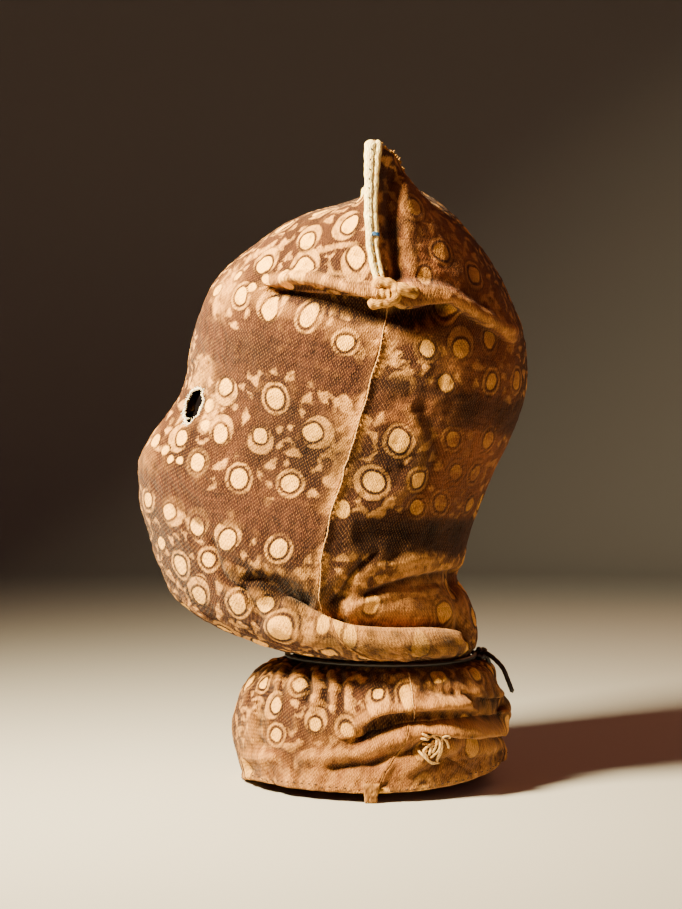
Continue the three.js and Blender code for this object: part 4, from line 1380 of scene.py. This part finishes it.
def tube(path, radius, sides=8, through=None, out=None, lumps=0, seed=0, ply=0, turn_length=8):
    """A closed strand along a path: its places, faces and measures round and along it.
    Radius and through are its half sizes across and along the way it faces, out."""
    path = np.array(path, float)
    count = len(path)
    tangent = unit(np.gradient(path, axis=0))
    first = np.array([0.31, 0.17, 0.94]) if out is None else np.array(out, float)
    outs = np.zeros_like(path)
    for i in range(count):
        outs[i] = unit(first - tangent[i] * (first @ tangent[i]))
        first = outs[i] if out is None else first
    sideways = np.cross(tangent, outs)
    radius = np.broadcast_to(np.asarray(radius, float), (count,))
    through = radius if through is None else np.broadcast_to(np.asarray(through, float), (count,))
    length = lengths_along(path)
    turn = np.linspace(0, 2 * np.pi, sides, endpoint=False)[None, :]
    swell = np.ones((count, sides))
    if lumps:
        round_it, along_it = np.broadcast_arrays(turn * 4, length[:, None])
        swell += lumps * waves(round_it, along_it, 7, seed)
    if ply:
        twist = turn + 2 * np.pi * length[:, None] / turn_length
        swell += ply_depth * np.abs(np.cos(ply / 2 * twist))
    across_part = sideways[:, None] * (np.cos(turn) * radius[:, None] * swell)[..., None]
    out_part = outs[:, None] * (np.sin(turn) * through[:, None] * swell)[..., None]
    places = (path[:, None] + across_part + out_part).reshape(-1, 3)
    i, j = np.meshgrid(np.arange(count - 1), np.arange(sides), indexing="ij")
    after = (j + 1) % sides
    quads = np.stack([i * sides + j, i * sides + after, (i + 1) * sides + after,
                      (i + 1) * sides + j], axis=-1).reshape(-1, 4)
    faces = [list(map(int, quad)) for quad in quads]
    faces.append(list(range(sides))[::-1])
    faces.append(list(range((count - 1) * sides, count * sides)))
    measures = np.stack(np.broadcast_arrays(turn * radius[:, None], length[:, None],
                                            turn / (2 * np.pi)), axis=-1).reshape(-1, 3)
    return places, faces, measures


def rounded(size, count, blunt=0.12):
    """Half sizes along a strand that closes roundly at both ends."""
    t = np.linspace(0, 1, count)
    end = np.clip(np.minimum(t, 1 - t) / blunt, 0, 1)
    return size * np.sqrt(np.clip(1 - (1 - end) ** 2, 0.02, 1))


def made_of(name, parts, material, replaced=None):
    """One piece joined from closed parts. Its cloth measure is in mm round and along."""
    places = np.concatenate([part[0] for part in parts])
    measures = np.concatenate([part[2] for part in parts])
    faces, start = [], 0
    for part in parts:
        faces += [[start + corner for corner in face] for face in part[1]]
        start += len(part[0])
    mesh = bpy.data.meshes.new(name)
    mesh.from_pydata((places * metre).tolist(), [], faces)
    attribute = mesh.attributes.new("cloth", "FLOAT_VECTOR", "POINT")
    attribute.data.foreach_set("vector", measures.ravel())
    mesh.shade_smooth()
    mesh.materials.append(material)
    piece = put_in_scene(name, mesh)
    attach(piece, "root")
    if replaced:
        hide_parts(replaced)
    return piece


def folded_cotton(name, clean, soiled):
    """Handspun cotton of one colour, matt, and darker where it is handled and in its weave."""
    material, sockets = new_material(name, cotton_roughness, **{"Specular IOR Level": 0.2})
    position = add(material, "Attribute", output="Vector", attribute_name="cloth")
    thread = plain_weave(material, position, 1.3)
    grime = add(material, "TexNoise", position, None, 1 / 4, 3)
    grime = add(material, "Math", grime, 3, -1.15, operation="MULTIPLY_ADD", use_clamp=True)
    surface = add(material, "MixRGB", grime, colour(clean), colour(soiled))
    shade = add(material, "Math", thread, 0.7, 0.55, operation="MULTIPLY_ADD")
    shade_and_raise(material, sockets, surface, shade, thread, 0.7, 0.35)
    return material


# Undyed cotton is cream and matt, and yellower where hands have soiled it
undyed = folded_cotton("undyed handspun cotton", welt_cream, welt_soiled)


def spun_thread(name, code, roughness, pitch):
    """Thread or cord of twisted yarns, shaded along the twist."""
    material, sockets = new_material(name, roughness)
    measure = add(material, "Attribute", output="Vector", attribute_name="cloth")
    length = add(material, "SeparateXYZ", measure, output="Y")
    turn = add(material, "SeparateXYZ", measure, output="Z")
    turns = add(material, "Math", length, 2 * np.pi / pitch, operation="MULTIPLY")
    turns = add(material, "Math", turn, 4 * np.pi, turns, operation="MULTIPLY_ADD")
    twist = add(material, "Math", turns, operation="SINE")
    twist = add(material, "Math", twist, 0.5, 0.5, operation="MULTIPLY_ADD")
    tone = add(material, "Math", twist, 0.5, 0.6, operation="MULTIPLY_ADD")
    shade_and_raise(material, sockets, colour(code), tone, twist, 0.5, 0.2)
    return material


# Sewing thread is fine and smooth, so only its colour and its twist show
grey_thread = spun_thread("grey-blue sewing thread", thread_grey, 0.7, 1.6)


def seam_places(side, first, last):
    """The outside of the side seam between two stations, right side -1 and left side 1."""
    column = -1 if side > 0 else 0
    rows = (station >= first) & (station <= last)
    return (outer_skin["face"][rows, column] + outer_skin["nape"][rows, column]) / 2


def stitch_along(path, out, step, length, radius, seed, slant=0.3):
    """Short stitches that lie along a path and dip into the cloth at both ends."""
    chance = np.random.default_rng(seed)
    at = lengths_along(path)
    out = np.broadcast_to(out, path.shape)
    stitches = []
    place = chance.uniform(0, step)
    while place + length < at[-1]:
        reach = length * chance.uniform(0.8, 1.15)
        spots_along = place + np.linspace(0, reach, 5)
        points = np.column_stack([np.interp(spots_along, at, axis) for axis in path.T])
        ways = np.column_stack([np.interp(spots_along, at, axis) for axis in out.T])
        rise = np.array([-0.5, 0.25, 0.4, 0.25, -0.5]) * radius * 2
        drift = np.linspace(-1, 1, 5) * chance.uniform(-slant, slant)
        points = points + ways * rise[:, None]
        points[:, 1] += drift * radius
        stitches.append(tube(points, rounded(radius, 5, 0.3), 6))
        place += step * chance.uniform(0.85, 1.15)
    return stitches


def ear_edge(side):
    """The front edge of an ear, from its tip down to the pinch."""
    return smooth_path(seam_places(side, 0, welt_end)[::4], welt_steps)


for side, word in ((1, "left"), (-1, "right")):
    edge = ear_edge(side)
    edge[:, 0] = side * np.abs(edge[:, 0])
    from_tip = np.arange(welt_steps)
    past_middle = from_tip - welt_steps / 2
    parts = []
    for roll, seed in ((front_roll, 5), (back_roll, 6)):
        middle = edge + (side * roll["out"], roll["back"], 0)
        middle[:, 1] += welt_wobble * np.sin(np.linspace(0, 9, welt_steps) + seed)
        middle[:, 1] -= foot_lean * smooth(past_middle / foot_lean_steps)
        wide = 1 + tip_swell * np.exp(-((from_tip / tip_steps) ** 2))
        wide *= 1 - foot_thinning * smooth(past_middle / foot_thinning_steps)
        parts.append(tube(middle, rounded(roll["across"], welt_steps, 0.05) * wide, welt_sides,
                          through=rounded(roll["through"], welt_steps, 0.05),
                          out=(side, 0, 0), lumps=welt_lumps, seed=seed))
    made_of(f"{word}_ear_welt", parts, undyed)
    outside = edge + (side * (front_roll["out"] + front_roll["through"]), front_roll["back"], 0)
    made_of(f"{word}_welt_stitches",
            stitch_along(outside[4:-4], (side, 0, 0), stitch_step, stitch_length,
                         stitch_radius, 8),
            grey_thread)

# The ear pinches
# Under each ear the end of the welt is rolled and pinched together round a slanting fold,
# with a short tail behind it. The roll has taken up the print's brown.
pinch_roll = [(22, 311.5), (29.5, 311.3), (36.5, 312.6), (39.8, 316.4), (38.3, 320.8),
              (33.5, 323), (28.6, 323.2), (26, 319.5)]
pinch_tail = [(36, 321), (41.5, 320), (47, 318.4), (52, 317.4)]
pinch_fold = [(27, 315.6), (31, 316), (36.5, 316.6)]
pinch_out = 103
pinch_radius = 3.9
pinch_steps = 46
pinch_unevenness = 0.08
pinch_lumps = 0.12
pinch_cream, pinch_brown = "#d09a4a", "#5c3214"

# Rolled up, the print is no more than blotches of cream and brown
rolled = folded_cotton("rolled printed cotton", pinch_cream, pinch_brown)
for side, word in ((1, "left"), (-1, "right")):
    parts = []
    for line, sink in ((pinch_roll, 1.6), (pinch_tail, 4.5), (pinch_fold, 0.5)):
        path = np.array([(pinch_out, *place) for place in line])
        path[:, 0] -= sink * np.abs(np.linspace(-1, 1, len(line))) ** 3
        roll_path = smooth_path(path * (side, 1, 1), pinch_steps)
        size = 1 + pinch_unevenness * np.sin(np.arange(pinch_steps) * 0.37)
        size = rounded(pinch_radius, pinch_steps, 0.1) * size
        parts.append(tube(roll_path, size, 14, out=(side, 0, 0), lumps=pinch_lumps, seed=9))
    made_of(f"{word}_ear_pinch", parts, rolled)

# The blue mend
# Three turns of blue sewing thread hold the two strands of the left welt together, halfway
# up the ear.
thread_blue = "#2f6cae"
mend_height = 353.5
mend_radius = 0.4

# The one bright colour on the mask
blue_thread = spun_thread("blue sewing thread", thread_blue, 0.6, 1.6)
edge = ear_edge(1)
at = edge[np.abs(edge[:, 2] - mend_height).argmin()]
mends = []
for k, rise in enumerate((-0.8, 0, 0.7)):
    turn_path = [at + (3.1, -1.4 + 0.4 * k, rise), at + (3.4, 0.6, rise + 0.4),
                 at + (3, 2.4, rise + 0.2), at + (2.2, 3.8, rise - 0.3)]
    mends.append(tube(smooth_path(turn_path, 9), mend_radius, 6))
made_of("blue_mend", mends, blue_thread)


# The side seams
# Both side seams are oversewn with a pale handspun thread. It shows as a thin line down the
# head and at the top of the collar. Elsewhere the turned-in edges of the panels cover it.
seam_thread_radius = 0.42
seam_thread_rise = 0.45
seam_thread_stations = ((4.6, 14.7), (18.6, 20.6))
seam_wobble = 0.12
seam_drift = 0.4
seam_lift = 0.25
turned_edge_radius = 0.5
turned_edge_depth = 0.35
turned_edge_stations = ((14.6, 17.4), (20.5, 23.9))
edge_worn, edge_soiled = "#a3733a", "#4a2814"
thread_pale = "#c9975a"

# Turned edges have taken up the dye and dirt, and are a worn brown
turned_cotton = folded_cotton("turned cotton edge", edge_worn, edge_soiled)
# Undyed thread is a little paler than the cloth, matt, and shows its twist
pale_thread = spun_thread("undyed cotton thread", thread_pale, 0.85, 2.2)
for side, word in ((1, "left"), (-1, "right")):
    parts = []
    for first, last in seam_thread_stations:
        line = smooth_path(seam_places(side, first, last)[::3], int(40 * (last - first)))
        step = np.arange(len(line))
        line = line + (side * seam_thread_rise, 0, 0)
        line[:, 1] += seam_wobble * np.sin(step * 0.9) + seam_drift * np.sin(step * 0.11)
        line[:, 0] += side * seam_lift * np.sin(step * 0.9 + 1)
        parts.append(tube(line, rounded(seam_thread_radius, len(line), 0.01), 7))
    made_of(f"{word}_seam_thread", parts, pale_thread)
    parts = []
    for first, last in turned_edge_stations:
        line = smooth_path(seam_places(side, first, last)[::3], int(30 * (last - first)))
        line = line - (side * turned_edge_depth, 0, 0)
        parts.append(tube(line, rounded(turned_edge_radius, len(line), 0.02), 7))
    made_of(f"{word}_turned_edges", parts, turned_cotton)


# The crown edge
# The raw edges of the two panels stand up along the crown seam as a low torn wall. Ends of
# thread stick out of it, most of them at the ears.
crown_edge_height = 2.4
crown_edge_thickness = 1.5
crown_edge_root = 1.2
crown_evenness = 0.55
crown_tear = 0.3
crown_notches = 0.5
frayed_ends = 110
frayed_radius = 0.22
frayed_length = (0.8, 2.2)
near_ear_share = 0.6

crown = (outer_skin["face"][0] + outer_skin["nape"][0]) / 2
beyond = np.zeros_like(crown)
for panel in forward:
    beyond += cloth[panel][0] - cloth[panel][3]
beyond[:, 0] *= 0.4
beyond = unit(beyond)
chance = np.random.default_rng(14)
count = len(crown)
torn = crown_evenness + crown_tear * waves(over_cloth["face"][0], 0 * crown[:, 0], 16, 15)
torn += crown_notches * chance.uniform(-0.5, 0.5, count)
ends = smooth(np.minimum(np.arange(count), np.arange(count)[::-1]) / 9)
high = crown + beyond * (crown_edge_height * ends * np.clip(torn, 0.15, 1.4))[:, None]
low = crown - beyond * crown_edge_root
half = np.array([0, crown_edge_thickness / 2, 0])
wall = np.stack([low - half, high - half * 0.7, high + half * 0.7, low + half], axis=1)
wall_faces = []
for i in range(count - 1):
    for k in range(4):
        a, b = i * 4 + k, i * 4 + (k + 1) % 4
        wall_faces.append([a, b, b + 4, a + 4])
wall_faces += [[3, 2, 1, 0], [4 * count - 4 + k for k in range(4)]]
round_wall = np.array([0, 2, 3.2, 5.2])
wall_measures = np.zeros((count, 4, 3))
wall_measures[..., 0] = over_cloth["face"][0][:, None]
wall_measures[..., 1] = round_wall
parts = [(wall.reshape(-1, 3), wall_faces, wall_measures.reshape(-1, 3))]
for _ in range(frayed_ends):
    near_ear = chance.uniform() < near_ear_share
    reach = chance.uniform(0.04, 0.2) if near_ear else chance.uniform(0.04, 0.96)
    k = int((reach if chance.uniform() < 0.5 else 1 - reach) * (count - 1))
    start = crown[k] + beyond[k] * crown_edge_height * 0.4
    way = unit(beyond[k] + chance.normal(0, 0.5, 3))
    size = chance.uniform(*frayed_length)
    points = [start, start + way * size * 0.5 + chance.normal(0, 0.3, 3),
              start + way * size + chance.normal(0, 0.6, 3)]
    parts.append(tube(smooth_path(points, 5), rounded(frayed_radius, 5, 0.4), 5))
made_of("crown_edge", parts, rolled)


# The hem stitches
# The hem is turned up and sewn all round with a running stitch of dark thread, 6 mm above
# its edge.
hem_stitch_height = 6
hem_stitch_step = 5.2
hem_stitch_length = 2.4
thread_dark = "#3a2118"

# Dark thread hardly shows on the brown cloth, but for its small dents
dark_thread = spun_thread("dark sewing thread", thread_dark, 0.7, 1.6)
parts = []
for panel in forward:
    to_hem = down_cloth[panel][-1] - down_cloth[panel]
    normal = facing(cloth[panel], forward[panel])
    line, ways = [], []
    for j in range(2, columns - 1):
        row = int(np.abs(to_hem[:, j] - hem_stitch_height).argmin())
        line.append(outer_skin[panel][row, j])
        ways.append(normal[row, j])
    parts += stitch_along(np.array(line), np.array(ways), hem_stitch_step, hem_stitch_length,
                          stitch_radius, 17, slant=0.8)
made_of("hem_stitches", parts, dark_thread)


# The eye edges
# The eye holes are cut through the cloth and left raw, so their edges have crept into a
# thin fuzzy roll. White ends of threads stand out from it and into the hole.
eye_fibres = 130
eye_fibre_radius = 0.2
eye_edge_radius = 0.72
eye_edge_steps = 80
eye_edge_rise = 0.3
inward_share = 0.45
eye_white = "#f4e6d0"

# Raw cotton that the dye hasn't reached is white and fuzzy
eye_thread = spun_thread("frayed white cotton", eye_white, 0.9, 1.5)

for side, word in ((1, "left"), (-1, "right")):
    aim = eye_aim * (side, 1, 1)
    skin = outer_skin["face"].reshape(-1, 3)
    size, h, v, level = beside_eye(skin, side)
    turn = np.arctan2(v, h)
    on_rim = np.abs(size - 1) < 1e-3
    order = np.argsort(turn[on_rim])
    ring_path = skin[on_rim][order]
    ring_turn = turn[on_rim][order]
    closed = np.concatenate([ring_path, ring_path[:2]])
    closed = smooth_path(closed, eye_edge_steps)
    chance = np.random.default_rng(23 + side)
    uneven = 1 + 0.3 * np.sin(np.arange(eye_edge_steps) * 0.41)
    thick = eye_edge_radius * (uneven + chance.normal(0, 0.1, eye_edge_steps))
    parts = [tube(closed + aim * eye_edge_rise, np.clip(thick, 0.6, 1.7), 8, lumps=0.15, seed=3)]
    for _ in range(eye_fibres):
        k = chance.integers(0, len(ring_path))
        outwards = level * np.cos(ring_turn[k]) + np.array([0, 0, 1]) * np.sin(ring_turn[k])
        inward = chance.uniform() < inward_share
        way = outwards * (-1 if inward else 1) * chance.uniform(0.5, 1) + aim * 0.35
        way = unit(way + chance.normal(0, 0.4, 3))
        reach = chance.uniform(1, 1.9) if inward else chance.uniform(1.2, 2.4)
        start = ring_path[k] + aim * 0.4
        points = [start, start + way * reach * 0.5 + aim * 0.2,
                  start + way * reach + chance.normal(0, 0.25, 3)]
        parts.append(tube(smooth_path(points, 5), rounded(eye_fibre_radius, 5, 0.4), 5))
    made_of(f"{word}_eye_edge", parts, eye_thread)


# The thread tuft
# Above the hem at the back left, loose ends of undyed yarn hang out of a small torn hole
# with a rolled rim, over the crinkled cloth beside it. The dark plug in the hole is painted
# shadow.

# The hole and each end of yarn, by their pixels
tuft_hole_pixel = (446, 736.5)
tuft_strands = [
    [(442.5, 737.5), (444, 740), (446, 743.5), (448.5, 749)],
    [(437, 734.5), (440, 735), (441.8, 740), (442, 748), (440, 754), (437, 759)],
    [(433, 736), (436, 735.5), (439, 739), (439, 747), (436.5, 752), (430, 758)],
    [(435.5, 737), (437, 741), (436.5, 746), (433.5, 750), (431.5, 754)],
    [(434.5, 740), (431, 744.5), (425.8, 750), (424, 753.5), (427, 757.5)],
    [(436, 742), (432.5, 747.5), (429, 752), (427.8, 755)],
    [(438, 739), (439.8, 745), (438, 751), (435.5, 757), (437.5, 760.5)],
    [(432, 737), (430, 734.8), (434, 733), (438.5, 733.5)],
    [(417, 750.5), (421, 757), (428, 762.5), (435.5, 764.5), (439.5, 763)],
    [(421, 733), (425, 735.5), (429, 736)],
    [(420.5, 738), (424, 737.5), (428, 739.5)],
    [(421, 742), (425, 741.5), (429, 743.5)],
]
yarn_radius = 0.78
yarn_twist = 4
yarn_steps = 22
yarn_cream = "#dcae68"
hole_half_width = 2.3
hole_rim_radius = 0.6


def above_cloth(pixel, height):
    """A place over the cloth that a pixel shows, at a height in mm off its outer skin."""
    panel, k = on_cloth(pixel)
    return outer_skin[panel][k] + facing(cloth[panel], forward[panel])[k] * height


# Thick yarn, cream like the welts, whose twist is plain to see
yarn = spun_thread("undyed handspun yarn", yarn_cream, 0.9, 2.6)
chance = np.random.default_rng(31)
parts = []
for pixels in tuft_strands:
    count = len(pixels)
    rise = np.sin(np.linspace(0.35, np.pi - 0.15, count)) * chance.uniform(1.6, 2.6) + 0.4
    points = [above_cloth(pixel, height) for pixel, height in zip(pixels, rise)]
    parts.append(tube(smooth_path(points, yarn_steps), rounded(yarn_radius, yarn_steps, 0.08), 8,
                      ply=2, turn_length=yarn_twist))
middle = above_cloth(tuft_hole_pixel, 0.2)
out = facing(cloth["nape"], 1)[on_cloth(tuft_hole_pixel)[1]]
level = unit(np.cross(out, (0, 0, 1)))
upward = np.cross(level, out)
turn = np.linspace(-1.2, 4, 15)[:, None]
rim = middle + hole_half_width * (np.cos(turn) * level + np.sin(turn) * upward)
parts.append(tube(rim, rounded(hole_rim_radius, 15, 0.2), 7))
made_of("thread_tuft", parts, yarn)
# A dark plug made with the dark thread's material fills the hole: painted shadow for the dark
# inside of the hood
inside = [middle - out * 1.2, middle - out * 0.5, middle + out * 0.1]
made_of("tuft_hole_shadow", [tube(inside, [1.4, 2, 1.8], 12, out=level)], dark_thread)


# The neck cord
# A waxed cord of two dark yarns, 3.2 mm thick, is tied tight round the neck and knotted at
# the nape, where its ends hang.
cord_diameter = 3.2
cord_looseness = 0.3
cord_twist = 9
cord_steps = 140
cord_opening = 0.03
knot_radius = 4.4
knot_clearance = 1
end_steps = 34
ply_swell = 1.1
cord_dark = "#130907"

# The two ends, then the two loops of the knot, in mm from the middle of the knot
cord_ends = [
    [(0, 0, 1), (5, 6, -0.5), (9, 14, -8), (11, 18, -17), (12, 21, -25)],
    [(0, 0, -1), (-5, 4, -2), (-8, 7, -8), (-9, 9, -15)],
    [(-5, -3, 0), (-3, 2.5, 2.4), (2, 3.2, 1), (3.4, 0, -2.6), (0, -2.4, -2), (-3, 0, 1.5)],
    [(4, -3, 0), (3, 1.5, -2.2), (-1.5, 3.4, -1.4), (-3.2, 1, 1.6), (0, -1, 3), (3, 1, 1)],
]

# Wax makes the cord nearly black and a little glossy
waxed = spun_thread("waxed dark cord", cord_dark, 0.42, cord_twist)
before_neck = np.array([neck_station - neck_band])
neck_face_y = along(face_line, before_neck)[0, 0]
neck_nape_y = along(nape_line, before_neck)[0, 0]
neck_seam_x, neck_seam_y, _ = along(seam_line, before_neck)[0]
neck_z = along(nape_line, np.array([neck_station]))[0, 1]
clearance = cord_diameter / 2 + cloth_thickness / 2 + cord_looseness
turn = np.pi / 2 - np.linspace(cord_opening, 2 * np.pi - cord_opening, cord_steps)
reach = np.where(np.sin(turn) > 0, neck_nape_y, neck_face_y) - neck_seam_y
out = unit(np.column_stack([np.cos(turn) / neck_seam_x, np.sin(turn) / np.abs(reach),
                            0 * turn]))
ring_path = np.column_stack([neck_seam_x * np.cos(turn),
                             neck_seam_y + np.abs(reach) * np.sin(turn), 0 * turn + neck_z])
ring_path = ring_path + out * clearance
radius = cord_diameter / 2 / ply_swell
knot_y = neck_nape_y + cloth_thickness / 2 + knot_radius + cord_looseness + knot_clearance
parts = [tube(ring_path, radius, 12, ply=2, turn_length=cord_twist)]
for points in cord_ends:
    points = np.array(points) + (0, knot_y, neck_z)
    parts.append(tube(smooth_path(points, end_steps), rounded(radius, end_steps, 0.04), 10,
                      ply=2, turn_length=cord_twist))
made_of("tied_neck_cord", parts, waxed, "neck_cord")


# The hem tab
# The end of the left side seam hangs below the hem, folded into a small tab of the panels'
# turned edges, dented and ragged.
tab_low, tab_high = (np.array(corner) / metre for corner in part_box("hem_tab"))
tab_steps = 18
tab_shift = 2.5

u, v = np.meshgrid(np.linspace(-1, 1, tab_steps), np.linspace(-1, 1, tab_steps), indexing="xy")
tab_middle, tab_half = (tab_low + tab_high) / 2, (tab_high - tab_low) / 2
edge_fall = np.sqrt(np.clip(1 - np.maximum(np.abs(u), np.abs(v)) ** 4, 0, 1))
narrow = 0.84 + 0.14 * v
ragged = 0.04 * waves(u * 9, v * 9, 4, 41)
tab_y = tab_middle[1] + tab_shift + tab_half[1] * u * (narrow + ragged)
tab_z = tab_middle[2] + tab_half[2] * np.where(v < 0, v, v * 1.25)
dent = 0.9 * np.exp(-(((u - 0.15) / 0.16) ** 2 + ((v - 0.2) / 0.14) ** 2))
dent += 0.6 * np.exp(-(((u + 0.25) / 0.12) ** 2 + ((v + 0.45) / 0.3) ** 2))
bulge = 0.18 * waves(u * 9, v * 9, 6, 42)
front_x = tab_middle[0] + tab_half[0] * edge_fall * (1 + bulge) - dent * edge_fall
back_x = tab_middle[0] - tab_half[0] * edge_fall
places = np.concatenate([np.stack([front_x, tab_y, tab_z], -1).reshape(-1, 3),
                         np.stack([back_x, tab_y, tab_z], -1).reshape(-1, 3)])
number = np.arange(tab_steps**2).reshape(tab_steps, tab_steps)
cells = np.stack([number[:-1, :-1], number[:-1, 1:], number[1:, 1:], number[1:, :-1]], -1)
cells = cells.reshape(-1, 4)
tab_faces = cells.tolist() + (cells[:, ::-1] + tab_steps**2).tolist()
around = np.concatenate([number[0, :-1], number[:-1, -1], number[-1, :0:-1], number[:0:-1, 0]])
for a, b in zip(around, np.roll(around, -1)):
    tab_faces.append([int(b), int(a), int(a + tab_steps**2), int(b + tab_steps**2)])
measures = np.concatenate([np.stack([u * 6, v * 6, u * 0], -1).reshape(-1, 3)] * 2)
made_of("tape_tab", [(places, tab_faces, measures)], turned_cotton, "hem_tab")


# The floor and the light
# A plain pale floor that sweeps up into a plain backdrop all round, and studio light: a warm
# key high on the left in front of the face, a weak fill and a weak light from behind.
floor_radius = 2.1
sweep_radius = 0.9
wall_height = 2.6
floor_pale = "#b7b6b6"
surround_pale = "#e0b4a4"
surround_strength = 0.06
round_steps = 96
sweep_steps = 13

turn = np.linspace(0, np.pi / 2, sweep_steps)
profile = [(0, 0)]
profile += [(floor_radius + sweep_radius * np.sin(t), sweep_radius * (1 - np.cos(t))) for t in turn]
profile += [(floor_radius + sweep_radius, wall_height)]
around = np.linspace(0, 2 * np.pi, round_steps, endpoint=False)
rings = [[(r * np.cos(a), r * np.sin(a), z) for a in around] for r, z in profile[1:]]
floor_faces = [[0, 1 + k, 1 + (k + 1) % round_steps] for k in range(round_steps)]
for i in range(len(rings) - 1):
    for k in range(round_steps):
        a = 1 + i * round_steps + k
        b = 1 + i * round_steps + (k + 1) % round_steps
        floor_faces.append([a, a + round_steps, b + round_steps, b])
floor_mesh = bpy.data.meshes.new("floor")
floor_mesh.from_pydata([(0, 0, 0)] + [place for ring in rings for place in ring], [], floor_faces)
floor_mesh.shade_smooth()
floor = put_in_scene("floor", floor_mesh)

# Matt paint shows the shadow of the mask and no reflection
matt_floor, floor_sockets = new_material("matt floor paint", 0.9)
floor_sockets["Base Color"].default_value = colour(floor_pale)
floor_mesh.materials.append(matt_floor)

surround = bpy.data.worlds.new("surround")
surround.use_nodes = True
surround.node_tree.nodes["Background"].inputs["Color"].default_value = colour(surround_pale)
surround.node_tree.nodes["Background"].inputs["Strength"].default_value = surround_strength
bpy.context.scene.world = surround

lamps = [
    # name, place in m, size in m, watts, spread in degrees, colour
    ("key", (0.38, -0.52, 0.73), 0.2, 27, 110, "#ffeab8"),
    ("fill", (1.5, 0.7, 0.5), 1.2, 1.6, 120, "#ff8a8c"),
    ("back", (-1.1, 1.0, 1.1), 0.9, 2.6, 120, "#ff9a68"),
]
for name, place, size, watts, spread, tint in lamps:
    lamp_data = bpy.data.lights.new(name, "AREA")
    lamp_data.size = size
    lamp_data.energy = watts
    lamp_data.spread = np.radians(spread)
    lamp_data.color = colour(tint)[:3]
    lamp = put_in_scene(name, lamp_data)
    lamp.location = place
    aim = Vector((0, 0, camera_z * metre)) - lamp.location
    lamp.rotation_euler = aim.to_track_quat("-Z", "Y").to_euler()
